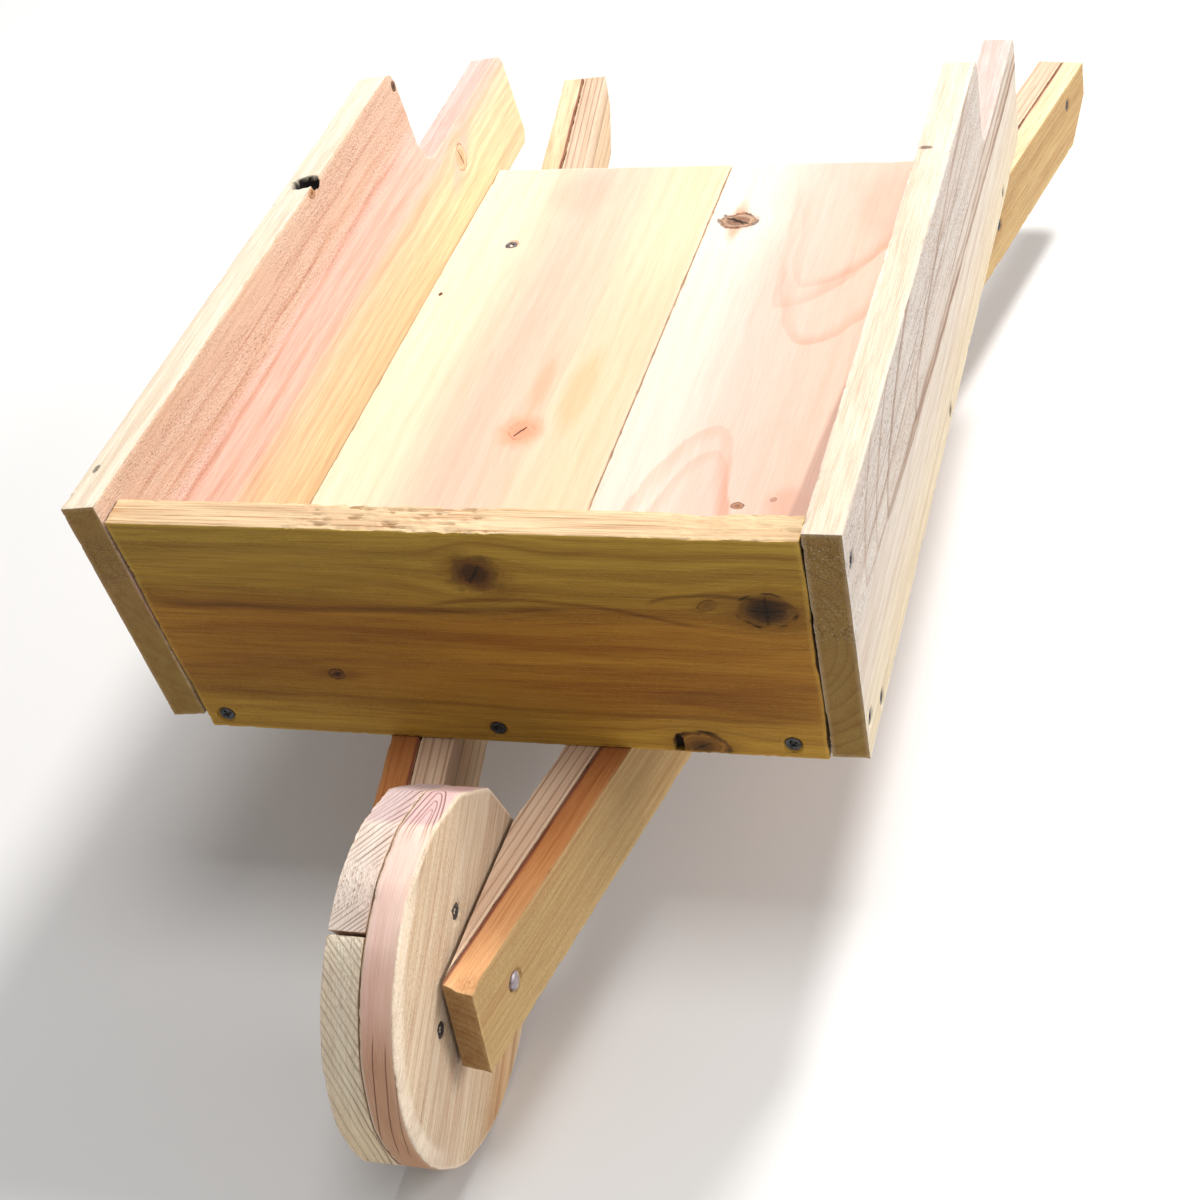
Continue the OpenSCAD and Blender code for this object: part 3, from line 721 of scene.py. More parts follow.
SPEC["rail_in"] = dict(
    seed=7, span=(-55, 3), v0=4, w0=-120, ring=4.6, ring_strength=0.62, warp=1.2, tint=(0.97, 1.04, 1.02), absw=True,
    profile=[(0.0, 0.5), (0.06, 0.0), (0.7, 0.05), (0.9, 0.5), (0.97, 1.0), (1.0, 0.8)],
    bands=[(-55, (214, 182, 148)), (-20, (216, 182, 150)), (3, (222, 188, 164))],
    late=(136, 104, 86), streak=0.14, fibre=0.12, fleck=0.2, edge_col=(236, 206, 176), end_col=(160, 124, 84),
)
SPEC["leg"] = dict(
    seed=8, span=(-5, 60), v0=26, w0=-60, ring=4.5, ring_strength=0.3, warp=3,
    bands=[(-5, (222, 186, 140)), (20, (226, 186, 146)), (40, (220, 176, 136)), (60, (216, 170, 130))],
    late=(176, 126, 86), streak=0.2, fibre=0.14, fleck=0.2, end_col=(150, 114, 70),
)
SPEC["cross"] = dict(
    seed=9, span=(-3, 45), v0=18, w0=-50, ring=4.2, ring_strength=0.35, warp=3,
    bands=[(-3, (218, 178, 134)), (20, (224, 182, 142)), (45, (214, 168, 126))],
    late=(170, 120, 80), streak=0.2, fibre=0.14, fleck=0.25, end_col=(150, 114, 70),
)
SPEC["wheel_u"] = dict(
    seed=10, span=(-95, 95), v0=150, w0=120, ring=4.6, ring_strength=0.35, warp=2,
    bands=[(-95, (224, 200, 178)), (0, (226, 200, 180)), (95, (224, 196, 174))],
    late=(150, 116, 92), streak=0.16, fibre=0.12, fleck=0.3, edge_col=(236, 214, 190),
)
SPEC["wheel_l"] = dict(
    seed=11, span=(-95, 95), v0=-150, w0=120, ring=4.6, ring_strength=0.4, warp=2,
    bands=[(-95, (212, 184, 152)), (0, (216, 190, 162)), (95, (220, 194, 166))],
    late=(140, 108, 84), streak=0.16, fibre=0.12, fleck=0.3, edge_col=(232, 208, 180),
)
SPEC["wheel_r"] = dict(
    seed=12, span=(-95, 95), v0=20, w0=-8, ring=6.0, ring_strength=0.3, warp=3,
    bands=[(-95, (206, 172, 132)), (-66, (206, 162, 116)), (-40, (214, 182, 146)), (-10, (216, 186, 154)), (30, (212, 184, 152)), (70, (216, 184, 148)), (95, (212, 178, 138))],
    late=(160, 120, 90), streak=0.30, fibre=0.18, fleck=0.18, edge_col=(244, 216, 188), edge_k=0.75, streak_dark=(196, 154, 120), tint=(1.0, 1.15, 1.30),
)
LINES = [(0.0, 0.85), (0.07, 0.15), (0.5, 0.0), (0.86, 0.25), (0.95, 0.9), (1.0, 1.0)]
SPEC["rim_u"] = dict(
    seed=13, coords="rim", span=(-18, 0), v0=-400, w0=0, um=0, tv=1.19, qv=-0.0057, ring=3.1, line_gap=(13, 34), ring_strength=0.95, warp=0.7, profile=LINES,
    bands=[(-18, (232, 220, 212)), (-8, (234, 222, 214)), (0, (234, 216, 208))], late=(124, 94, 80), streak=0.06, fibre=0.10,
    fleck=1.0, fleck_u=(10, 36), fleck_dark=(160, 126, 100), edge_col=(238, 218, 200), screen=False,
    # ubands: the step to mauve between u = 57 and 62 is a painted shadow on the upper rim. The darker far end is partly
    # the rim's tone and partly painted shade.
    ubands=[(-10, (250, 246, 240)), (57, (250, 246, 240)), (62, (228, 216, 222)), (150, (220, 208, 214)), (290, (210, 190, 170))],
)
SPEC["rim_l"] = dict(
    seed=14, coords="rim", span=(-18, 0), v0=-400, w0=0, um=0, tv=-1.0, qv=-0.0046, ring=3.4, ring_strength=1.0, warp=0.8, profile=LINES,
    bands=[(-18, (250, 240, 222)), (-8, (250, 242, 226)), (0, (248, 238, 220))], late=(110, 86, 66), streak=0.08, fibre=0.10,
    # ubands: darker towards the lower rim, partly the rim's tone and partly painted shade.
    fleck=0.25, edge_col=(228, 208, 184), ubands=[(-290, (236, 226, 206)), (-110, (234, 222, 200)), (-60, (244, 238, 226)), (-20, (246, 240, 230)), (0, (252, 248, 240))],
)
SPEC["rim_r"] = dict(
    seed=15, coords="rim", span=(0, 18), v0=-60, w0=30, um=0, ring=9.0, ring_strength=0.06, warp=1.0,
    bands=[(0, (240, 213, 204)), (9, (244, 216, 206)), (18, (244, 218, 204))], late=(196, 156, 136), streak=0.10, fibre=0.08, edge_col=(244, 216, 192),
    arcs=[(97, 5.5, -2.3, -0.25, 0.45, (140, 100, 88), 0.9, 64), (90, 7.2, -4.6, -0.42, 0.4, (140, 100, 88), 0.85, 50), (82, 8.6, -6.5, -0.85, 0.4, (150, 110, 96), 0.75, 40),
          (74, 9.6, -8.5, -1.6, 0.35, (156, 116, 100), 0.6, 30)], arc_wander=1.2, arc_turn=1.0, arc_fade=2.0,
    marks=[([(-118, -2), (-98, 2), (-70, 5), (-40, 7)], 0.55, (116, 80, 60), 0.8), ([(-120, 5), (-99, 8), (-70, 11), (-44, 12.4)], 0.55, (116, 80, 60), 0.75),
           ([(-120, 10), (-99, 13), (-76, 15), (-58, 15.8)], 0.5, (116, 80, 60), 0.65), ([(110, 3), (140, 5), (180, 4), (230, 6)], 0.5, (130, 92, 72), 0.7),
           ([(120, 9), (150, 11), (190, 12), (240, 11)], 0.5, (130, 92, 72), 0.7)], mark_wander=1.0,
    # ubands: the step to mauve between u = 57 and 62 is a painted shadow on the upper rim. The darker lower rim (u
    # below -26) is partly the rim's tone and partly painted shade.
    ubands=[(-290, (204, 180, 150)), (-110, (200, 176, 146)), (-60, (210, 186, 160)), (-26, (246, 230, 220)), (10, (255, 250, 246)), (57, (255, 250, 246)), (62, (228, 220, 230)), (290, (220, 190, 160))],
)
MATS = {}
for key, spec in SPEC.items():
    MATS[key] = (cedar("cedar_" + key, spec), cedar("cedar_" + key + "_end", spec, end=True))
STEEL = steel("zinc_steel")
DARK = steel("dark_steel", (92, 94, 98), (46, 48, 48), (0.38, 0.6), 0.75, 0.35)
ROD = steel("rod_steel", (176, 166, 172), (128, 116, 122), (0.35, 0.6), 0.6, 0.3)

# ---------------------------------------------------------------- tray
T = 19.0


def ease(P, cu, cv, su, sv, sx, sy, mx, my, fall, concave=False):
    """Turns a square corner of the outline at (cu, cv) into a cut one. su, sv point from the corner along the board's two edges."""
    x, y = (P[:, 0] - cu) * su, (P[:, 1] - cv) * sv
    if not concave:
        b = x - y
        e = np.minimum(x, y)
        on_x = b >= 0
        t = np.clip(np.abs(b) / np.where(on_x, sx, sy), 0, 1)
        tx = np.where(on_x, mx + (sx - mx) * t, mx * (1 - t))
        ty = np.where(on_x, my * (1 - t), my + (sy - my) * t)
        bx, by = np.where(on_x, t * sx, 0), np.where(on_x, 0, t * sy)
        live = (x > -0.01) & (y > -0.01)
    else:
        a, b = np.clip(y, 0, None), np.clip(x, 0, None)
        e = np.where((x < 0) & (y < 0), np.maximum(-x, -y), np.where(x < 0, -x, -y))
        on_x = b > 0
        t = np.clip(np.where(on_x, b / sx, a / sy), 0, 1)
        tx = np.where(on_x, mx + (sx - mx) * t, mx * (1 - t))
        ty = np.where(on_x, my * (1 - t), my + (sy - my) * t)
        bx, by = np.where(on_x, t * sx, 0), np.where(on_x, 0, t * sy)
        live = (x < 0.01) | (y < 0.01)
    k = np.clip(1 - np.clip(e, 0, None) / fall, 0, 1) ** 2 * live * (t < 1)
    P = P.copy()
    P[:, 0] += (tx - bx) * k * su
    P[:, 1] += (ty - by) * k * sv
    return P


def side(name, sign, splay, top, step, tongue, depth, spec, screws, extra_u=(), extra_v=(), post_extra=None):
    s = math.radians(splay)
    half = 166.4
    ox = sign * (half + top * math.tan(s))
    if sign > 0:
        M = axes(TRAY, (ox, 0, top), (0, 1, 0), (math.sin(s), 0, math.cos(s)), (math.cos(s), 0, -math.sin(s)))
        w_in, w_out = 0.0, T
        ws = np.array([0, 2.6, 6, 9.5, 13, 16.4, T])
    else:
        M = axes(TRAY, (ox, 0, top), (0, 1, 0), (-math.sin(s), 0, math.cos(s)), (math.cos(s), 0, math.sin(s)))
        w_in, w_out = 0.0, -T
        ws = np.array([-T, -16.4, -14, -12.5, -11, -9.5, -8, -6.5, -5, -3.6, -2.2, 0])
    us = lines(0.0, tongue, 3.4, near([p[0] for p in screws if p[0] > 8]) + [(step, 16, 1.5), (9, 9, 1.0)] + list(extra_u))
    us = np.array(sorted(set(us.tolist()) | {float(step)}))
    us = us[np.concatenate([[True], np.diff(us) > 0.3])]
    i = np.argmin(np.abs(us - step))
    us[i] = step
    vs = lines(-142.0, 0.0, 3.4, near([p[1] for p in screws if p[1] < -8]) + [(-depth, 14, 1.5)] + list(extra_v))
    j = np.argmin(np.abs(vs + depth))
    vs[j] = -depth
    cu, cv = (us[:-1] + us[1:]) / 2, (vs[:-1] + vs[1:]) / 2
    keep = ~((cu[:, None] > step) & (cv[None, :] > -depth))

    def warp(P):
        P = ease(P, step, 0.0, -1, -1, 9, 9, 2.6, 2.6, 18)
        P = ease(P, step, -depth, 1, 1, 17, 17, 6.8, 5.1, 34, concave=True)
        P = ease(P, tongue, -depth, -1, -1, 10, 10, 2.8, 2.8, 20)
        P = ease(P, tongue, -142.0, -1, 1, 6, 7, 3.0, 3.5, 20)
        # the front end leans with the front board
        z = top + P[:, 1] * math.cos(s) - np.abs(P[:, 2]) * math.sin(s)
        u0 = -z * math.tan(LEAN)
        P[:, 0] += u0 * np.clip(1 - P[:, 0] / 60.0, 0, 1)
        return P

    def post(Q, N, e):
        Q = dimples(Q, N, screws, w_out)
        if post_extra:
            Q = post_extra(Q, N, e)
        return Q

    return board(name, M, us, vs, ws, warp, MATS[spec], None, "barrow", "cedar_side", keep=keep, post=post, seed=3 + sign, bevel=1.0)


def screws_side(top):
    return [(6, -24), (9, -top + 22), (37, -top + 9.5), (282, -top + 9.5), (528, -top + 9.5)]


def knot_hole(Q, N, e):
    """The empty knot in the left side's top edge, open to the inner face."""
    x = (Q[:, 0] - 310.0 - 0.10 * (Q[:, 2] + 8)) / 8.0
    y = (Q[:, 2] + 6.4) / 9.6
    z = (Q[:, 1] + 0.0) / 7.5
    r = np.sqrt(x * x + y * y + z * z) + 0.14 * fbm(Q * 0.4, 31, 2)
    deep = np.clip(1 - r, 0, 1)
    k = smooth(0.0, 0.32, deep)
    # The hole mask paints the dent near-black as painted shade.
    EXTRA["hole"] = smooth(0.0, 0.09, deep)
    Q[:, 1] -= k * 6.5
    Q[:, 2] -= k * 1.5 * (np.abs(Q[:, 2]) < 3)
    return Q


left = side("left_side_board_wood", -1, 6.5, 149.9, 452.0, 620.0, 72.5, "side_l", screws_side(149.9),
            extra_u=[(310.5, 12, 0.8), (506, 12, 1.2)], extra_v=[(-6, 4, 0.8), (-94, 10, 1.2)], post_extra=knot_hole)
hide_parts("left_side_board")
rt = side("right_side_board_wood", 1, 0.5, 144.4, 453.0, 612.0, 64.0, "side_r", screws_side(144.4))
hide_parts("right_side_board")

# front board: u across the tray, v up, w forward
FRONT = axes(TRAY, (0, 0, 0), (1, 0, 0), (0, -math.sin(LEAN), math.cos(LEAN)), (0, -math.cos(LEAN), -math.sin(LEAN)))
H = 139.7
fs = [(-155.0, 9.2), (-4.0, 9.2), (148.0, 9.2)]
us = lines(-166.0, 166.0, 3.2, near([p[0] for p in fs]) + [(-30, 44, 1.1), (146, 15, 1.0), (102, 15, 1.0), (8, 14, 1.1), (-83, 6, 0.9)])
vs = lines(0.0, H, 3.2, [(9.2, 7.0, 0.85), (135.5, 2.0, 0.8), (96, 11, 1.1), (113, 12, 1.1), (43, 5, 0.9)])
ws = np.concatenate([[-T], np.arange(-16.6, -2.3, 1.15), [0.0]])


def warp_front(P):
    t = P[:, 1] / H
    up_l = -166.4 - H * math.cos(LEAN) * math.tan(math.radians(6.5)) * t
    up_r = 166.4 + H * math.cos(LEAN) * math.tan(math.radians(0.5)) * t
    x = (P[:, 0] + 166.0) / 332.0
    gap_l = 0.9 + 0.5 * np.sin(P[:, 1] * 0.07)
    gap_r = 0.8 + 0.4 * np.sin(P[:, 1] * 0.09 + 1)
    # keep grid spots near the middle where they are, spread only the ends
    lo_, hi_ = up_l + gap_l, up_r - gap_r
    left_k = np.clip(-P[:, 0] - 120, 0, 46) / 46
    right_k = np.clip(P[:, 0] - 156, 0, 10) / 10
    P[:, 0] = P[:, 0] + left_k * (lo_ + 166.0) + right_k * (hi_ - 166.0)
    return P


def post_front(Q, N, e):
    Q = dimples(Q, N, fs, 0.0, depth=1.9)
    top = smooth(H - 3.5, H - 0.3, Q[:, 1])
    # torn grain along the top edge
    zone = smooth(-96, -70, Q[:, 0]) * (1 - smooth(6, 26, Q[:, 0]))
    zone2 = smooth(95, 110, Q[:, 0])
    tear = np.clip(fbm(Q * [0.055, 0.0, 0.62], 41, 3) * 2.0 + fbm(Q * [0.2, 0, 1.1], 44, 2) * 0.5 - 0.1, 0, 1)
    Q[:, 1] -= top * tear * (1.3 * zone + 0.7 * zone2 + 0.15)
    # the edge behind the tear wanders
    back = smooth(-T + 2.6, -T, Q[:, 2]) * top
    Q[:, 2] += back * zone * np.clip(fbm(Q * [0.16, 0, 0], 47, 2) * 3.2 + 0.4, 0, 3)
    # a dent where the grain rises near the right end
    dent = np.exp(-(((Q[:, 0] - 118) / 11) ** 2)) * top
    Q[:, 1] -= dent * 1.1 * (0.5 + smooth(-4, -T, Q[:, 2]))
    front = smooth(-0.9, -0.2, Q[:, 2])
    # the void beside the bottom knot
    r = np.hypot((Q[:, 0] - 90) / 3.2, (Q[:, 1] - 4.5) / 8.5)
    void = 1 - smooth(0.55, 1.0, r + 0.25 * fbm(Q * 0.5, 51, 2))
    Q[:, 2] -= front * 4.0 * void
    # The hole mask paints the void near-black as painted shade.
    EXTRA["hole"] = front * smooth(0.1, 0.6, void)
    for ku, kv, ka, kb in ((146, 96, 13, 9.5), (8, 113, 13, 11.5), (102, 5, 13, 10)):
        r = np.hypot((Q[:, 0] - ku) / ka, (Q[:, 1] - kv) / kb)
        Q[:, 2] -= front * (0.55 * np.exp(-(((r - 1.0) / 0.10) ** 2)) - 0.35 * (1 - smooth(0.8, 1.0, r)) * (0.6 + fbm(Q * 0.4, 52, 2))) * 0.8
    return Q


board("front_board_wood", FRONT, us, vs, ws, warp_front, MATS["front"], "front_board", "barrow", "cedar_front", post=post_front, seed=6, bevel=0.9)

# floor boards: u along the tray, v to the left, w up
FLOOR = axes(TRAY, (0, 0, 0), (0, 1, 0), (-1, 0, 0), (0, 0, 1))


def floor(name, lo, hi, key, node, spots, splay, fine_u, fine_v):
    us = lines(19.0, 556.0, 3.6, near([p[0] for p in spots]) + fine_u)
    vs = lines(lo, hi, 3.6, near([p[1] for p in spots]) + fine_v)
    ws = np.array([0, 2.6, 6, 9.5, 13, 16.4, T])

    def warp(P):
        # the outer edge follows the side's lean, the front end the front board's
        k = np.clip((np.abs(P[:, 1]) - 120) / 46, 0, 1)
        P[:, 1] += np.sign(hi + lo) * k * P[:, 2] * math.tan(math.radians(splay))
        P[:, 0] += -P[:, 2] * math.tan(LEAN) * np.clip(1 - (P[:, 0] - 19) / 60, 0, 1)
        return P

    def post(Q, N, e):
        Q = dimples(Q, N, spots, T)
        for kn in SPEC[key]["knots"]:
            r = np.hypot((Q[:, 0] - kn["u"]) / kn["a"], (Q[:, 1] - kn["v"]) / kn["b"])
            on = smooth(T - 0.9, T - 0.2, Q[:, 2])
            Q[:, 2] -= on * kn.get("rim", 0.5) * (0.6 * np.exp(-(((r - 1.0) / 0.10) ** 2)) + 0.3 * (1 - smooth(0.6, 1.0, r)) * (0.5 + fbm(Q * 0.5, 53, 2)))
        return Q

    return board(name, FLOOR, us, vs, ws, warp, MATS[key], node, "barrow", "cedar_floor", post=post, seed=8, bevel=0.8)


floor("floor_board_left_wood", 0.35, 166.1, "floor_l", "floor_board_left", [(75.0, 52.0), (455.0, 129.5)], 6.5, [(243, 12, 1.1)], [(61, 12, 1.1)])
floor("floor_board_right_wood", -166.1, -0.35, "floor_r", "floor_board_right", [(75.0, -52.0), (455.0, -129.5)], 0.5, [(481, 14, 1.0)], [(-19.5, 15, 1.0)])

# crosspiece: u across, v rearwards, w up
CROSS = axes(RAILS, (0, 438, 0), (1, 0, 0), (0, 1, 0), (0, 0, 1))


def warp_cross(P):
    P[:, 2] = P[:, 2] / 26.0 * ((438 + P[:, 1]) * math.tan(TILT) - 0.15)
    return P


board("rear_crosspiece_wood", CROSS, lines(-150, 150, 4), lines(0, 38, 3.4), np.linspace(0, 26, 8), warp_cross, MATS["cross"], "rear_crosspiece", "barrow", "cedar_rail", seed=12)

# ---------------------------------------------------------------- rails
X0, OUT_T, IN_T, RH, BACK, FRONT_L, SHAVE = 64.4, 16.3, 17.8, 52.5, 838.2, 174.1, 19.6
CA, SA = math.cos(RA), math.sin(RA)
AX_U = -137.6 / CA + 0.0


def rail(name, sign, layer, key, node, spots, mark):
    """Frame: u along the rail, v up, w from the outer face; on the left rail w runs inwards."""
    if sign > 0:
        M = axes(RAILS, (X0, 0, 0), (SA, CA, 0), (0, 0, 1), (CA, -SA, 0))
        sgn = -1.0
    else:
        M = axes(RAILS, (-X0, 0, 0), (-SA, CA, 0), (0, 0, 1), (CA, SA, 0))
        sgn = 1.0
    if layer == "outer":
        d0, d1 = 0.0, OUT_T - 0.12
        start = lambda d: np.where(d < 15.51, -FRONT_L, -FRONT_L + (d - 15.51) / CA * CA / SA * 1.0)
    else:
        d0, d1 = OUT_T + 0.12, OUT_T + IN_T
        start = lambda d: (SHAVE - X0 + d * CA) / SA
    if layer == "outer":
        dl = np.array([0, 2.6, 5.4, 8.2, 11, 13.4, 15.5, OUT_T - 0.12])
    else:
        dl = np.linspace(d0, d1, 10)
    ws = np.sort(dl * sgn)
    us = lines(0.0, BACK + FRONT_L, 3.6, near([p[0] + FRONT_L for p in spots]) + ([(AX_U + FRONT_L, 9, 0.9)] if layer == "outer" else []))
    vs = lines(-RH, 0.0, 3.2, near([p[1] for p in spots]) + ([(-26.25, 8, 0.9)] if layer == "outer" else []))
    Lt = BACK + FRONT_L

    def warp(P):
        d = np.abs(P[:, 2])
        u0 = start(d)
        k = np.clip(1 - P[:, 0] / (Lt * (0.35 if layer == "inner" else 0.03)), 0, 1)
        shift = (u0 + FRONT_L) * k
        P[:, 0] = P[:, 0] - FRONT_L + shift
        # clipped lower corner of the handle
        low = -RH + 27.0 * np.clip((P[:, 0] - (BACK - 33.0)) / 33.0, 0, 1)
        P[:, 1] = P[:, 1] / RH * -low * 1.0
        return P

    def post(Q, N, e):
        if layer == "outer":
            Q = dimples(Q, N, spots, 0.0)
            r = np.hypot(Q[:, 0] - AX_U, Q[:, 1] + 26.25)
            on = np.abs(Q[:, 2]) < 0.8
            d = 1.5 * smooth(4.3, 4.9, r) * (1 - smooth(5.3, 6.2, r))
            Q[on] = Q[on] - N[on] * d[on][:, None]
        # hand-rounded top corner of the square tip
            tip = smooth(-FRONT_L + 9, -FRONT_L, Q[:, 0]) * smooth(-10, 0, Q[:, 1]) * (1 - smooth(7, 13, np.abs(Q[:, 2])))
            Q[:, 1] -= 2.6 * tip
        return Q

    return board(name, M, us, vs, ws, warp, MATS[key], node, "barrow", "cedar_rail", post=post, seed=14 + sign, bevel=1.0 if layer == "outer" else 0.9,
                 end_sides=("u0", "u1") if layer == "outer" else ("u1",))


rs = [(110.0, -26.0), (330.0, -26.0), (620.0, -26.0), (793.0, -15.0)]
for sign, nm in ((1, "right"), (-1, "left")):
    rail(f"{nm}_rail_outer_wood", sign, "outer", "rail_out", f"{nm}_rail_outer", rs, None)
    rail(f"{nm}_rail_inner_wood", sign, "inner", "rail_in", f"{nm}_rail_inner", [], None)

# ---------------------------------------------------------------- legs: u up, v along the rail, w outwards
for sign, nm in ((1, "right"), (-1, "left")):
    d = OUT_T + IN_T + T
    if sign > 0:
        M = axes(RAILS, (X0 - d * CA, d * SA, -GROUND), (0, 0, 1), (SA, CA, 0), (-CA, SA, 0))
        M = axes(RAILS, (X0, 0, -GROUND), (0, 0, 1), (SA, CA, 0), (-CA, SA, 0))
        ws = np.linspace(OUT_T + IN_T + 0.05, d + 0.05, 7)
    else:
        M = axes(RAILS, (-X0, 0, -GROUND), (0, 0, 1), (-SA, CA, 0), (-CA, -SA, 0))
        ws = np.linspace(-d - 0.05, -OUT_T - IN_T - 0.05, 7)
    spots = [(GROUND - 16.0, 384 + 14.0), (GROUND - 38.0, 384 + 36.0)]

    def post_leg(Q, N, e, spots=spots, face=(ws[-1] if sign > 0 else ws[0])):
        return dimples(Q, N, spots, face)

    def warp_leg(P):
        return P

    board(f"{nm}_leg_wood", M, lines(0.0, GROUND - 2.0, 3.4, near([p[0] for p in spots])), lines(384.0, 436.0, 3.2, near([p[1] for p in spots])), ws,
          warp_leg, MATS["leg"], f"{nm}_leg", "barrow", "cedar_rail", post=post_leg, seed=18 + sign)

# ---------------------------------------------------------------- wheel
R, WT, BORE = 88.7, 17.8, 4.83
JA = math.radians(55.5)
WHEEL = Matrix.Translation((0, -Y_MID - 137.6, GROUND - 26.25))


def disc(name, matrix, a0, a1, w0, w1, key, node, seed, spots=(), flat_gap=0.0, band=False, rim_key=None):
    """A disc or a sector of one in the plane u, v, with w through it. Angles are from +u towards +v."""
    full = abs(a1 - a0 - 2 * math.pi) < 1e-6
    na = 260 if full else 132
    ang = np.linspace(a0, a1, na + 1)
    rad = np.concatenate([[BORE], np.arange(8, R - 4, 3.2), [R - 2.4, R]])
    ws = np.linspace(w0, w1, 9)
    if full:
        ang = ang[:-1]
    ids, P, faces, ends = {}, [], [], []

    def vid(i, j, k):
        i = i % na if full else i
        key_ = (i, j, k)
        if key_ not in ids:
            ids[key_] = len(P)
            P.append((rad[j] * math.cos(ang[i]), rad[j] * math.sin(ang[i]), ws[k]))
        return ids[key_]

    nr, nw = len(rad) - 1, len(ws) - 1
    for i in range(na):
        mid = (ang[i] + (ang[(i + 1) % len(ang)] if not (full and i == na - 1) else a1)) / 2
        endish = True
        for j in range(nr):
            faces.append((vid(i, j, nw), vid(i, j + 1, nw), vid(i + 1, j + 1, nw), vid(i + 1, j, nw)))
            faces.append((vid(i, j, 0), vid(i + 1, j, 0), vid(i + 1, j + 1, 0), vid(i, j + 1, 0)))
            ends += [False, False]
        for k in range(nw):
            faces.append((vid(i, nr, k), vid(i + 1, nr, k), vid(i + 1, nr, k + 1), vid(i, nr, k + 1)))
            faces.append((vid(i, 0, k), vid(i, 0, k + 1), vid(i + 1, 0, k + 1), vid(i + 1, 0, k)))
            ends += [endish, False]
    if not full:
        for j in range(nr):
            for k in range(nw):
                faces.append((vid(0, j, k), vid(0, j + 1, k), vid(0, j + 1, k + 1), vid(0, j, k + 1)))
                faces.append((vid(na, j, k), vid(na, j, k + 1), vid(na, j + 1, k + 1), vid(na, j + 1, k)))
                ends += [False, False]

    P = np.array(P)

    def post(Q, N, e):
        rr = np.hypot(Q[:, 0], Q[:, 1])
        th = np.arctan2(Q[:, 1], Q[:, 0])
        # hand-sawn rim: slight flats and ripples
        # angle above forwards, whatever the layer's own frame
        fwd_ = JA + (th if not full else math.pi / 2 - th)
        deg = np.degrees(np.mod(fwd_ + math.pi, 2 * math.pi) - math.pi)
        cuts = [-180, -158, -131, -112, -84, -57, -31, -5, 18, 37, 52, 71, 92, 114, 139, 166, 180]
        flat = np.zeros(len(Q))
        for c0, c1 in zip(cuts, cuts[1:]):
            half_a = math.radians(c1 - c0) / 2
            inside = (deg >= c0) & (deg <= c1)
            off = np.radians(deg - (c0 + c1) / 2)
            flat[inside] = (R * (1 - math.cos(half_a) / np.cos(off)))[inside] * (0.85 if c0 >= 92 else 0.3)
        flat = flat + 0.25 * (0.5 + fbm(np.c_[np.cos(fwd_) * 5, np.sin(fwd_) * 5, Q[:, 2] * 0.03], seed + 60, 2))
        k = smooth(R - 16, R, rr) * flat
        if band:
            win = smooth(-48, -20, deg) * (1 - smooth(58, 84, deg))
            near_rim = np.clip((rr - (R - 9.5 - 2.0 * fbm(Q * 0.05, seed + 61, 2))) / 9.5, 0, 1) * smooth(w1 - 3.0, w1 - 0.2, Q[:, 2])
            Q[:, 2] -= near_rim * win * 1.5
            EXTRA["edge"] = np.clip(e * 0.8 + np.clip(near_rim * 4, 0, 1) * win, 0, 1)
        Q[:, 0] -= k * np.cos(th)
        Q[:, 1] -= k * np.sin(th)
        if flat_gap:
            side_k = smooth(2.4, 0.2, np.abs(Q[:, 1]))
            opening = 0.35 + flat_gap * smooth(R - 26, R, np.abs(Q[:, 0])) + 0.25 * fbm(Q * [0.08, 0, 0.2], seed + 70, 2)
            Q[:, 1] += math.copysign(1.0, (a0 + a1) / 2 if abs((a0 + a1) / 2) < math.pi else -1) * side_k * opening
        if len(spots):
            Q = dimples(Q, N, spots, w1)
        return Q

    def rim(Q):
        th = np.arctan2(Q[:, 1], Q[:, 0]) if not full else np.arctan2(Q[:, 0], Q[:, 1])
        return np.c_[R * th, Q[:, 2] if full else -Q[:, 2], R - np.hypot(Q[:, 0], Q[:, 1])]

    return finish_solid(name, matrix, P, faces, ends, (MATS[key][0], MATS[rim_key][0]), node, "wheel", "cedar_wheel", bevel=1.0, post=post, seed=seed, wave=0.2, rim=rim, tops=False)


# left layer: u along the joint (forwards and up), v square to it (up and back)
fu = (0, -math.cos(JA), math.sin(JA))
fv = (0, math.sin(JA), math.cos(JA))
# u x v
fw = tuple(Vector(fu).cross(Vector(fv)))
LEFT = WHEEL @ Matrix((Vector(fu), Vector(fv), Vector(fw))).transposed().to_4x4()
sx = fw[0]
w_a, w_b = (-WT, -0.12) if sx > 0 else (0.12, WT)
disc("wheel_left_upper_wood", LEFT, 0.0, math.pi, w_a, w_b, "wheel_u", "wheel_left_upper_board", 30, flat_gap=0.8, rim_key="rim_u")
disc("wheel_left_lower_wood", LEFT, -math.pi, 0.0, w_a, w_b, "wheel_l", "wheel_left_lower_board", 31, flat_gap=0.4, rim_key="rim_l")
# right layer: its grain stands square to the joint
ru = Vector((0, math.sin(JA), math.cos(JA)))
rw = Vector((1, 0, 0))
rv = rw.cross(ru)
RIGHT = WHEEL @ Matrix((ru, rv, rw)).transposed().to_4x4()
wsp = []
for k in range(4):
    a = math.radians(96 + 90 * k)
    # rotate([-a,0,0]) on (0,-38,0)
    y, z = -38 * math.cos(a), 38 * math.sin(a)
    p = Vector((0, y, z))
    wsp.append((p.dot(ru), p.dot(rv)))
disc("wheel_right_wood", RIGHT, 0.0, 2 * math.pi, 0.12, WT, "wheel_r", "wheel_right_board", 32, spots=wsp, band=True, rim_key="rim_r")


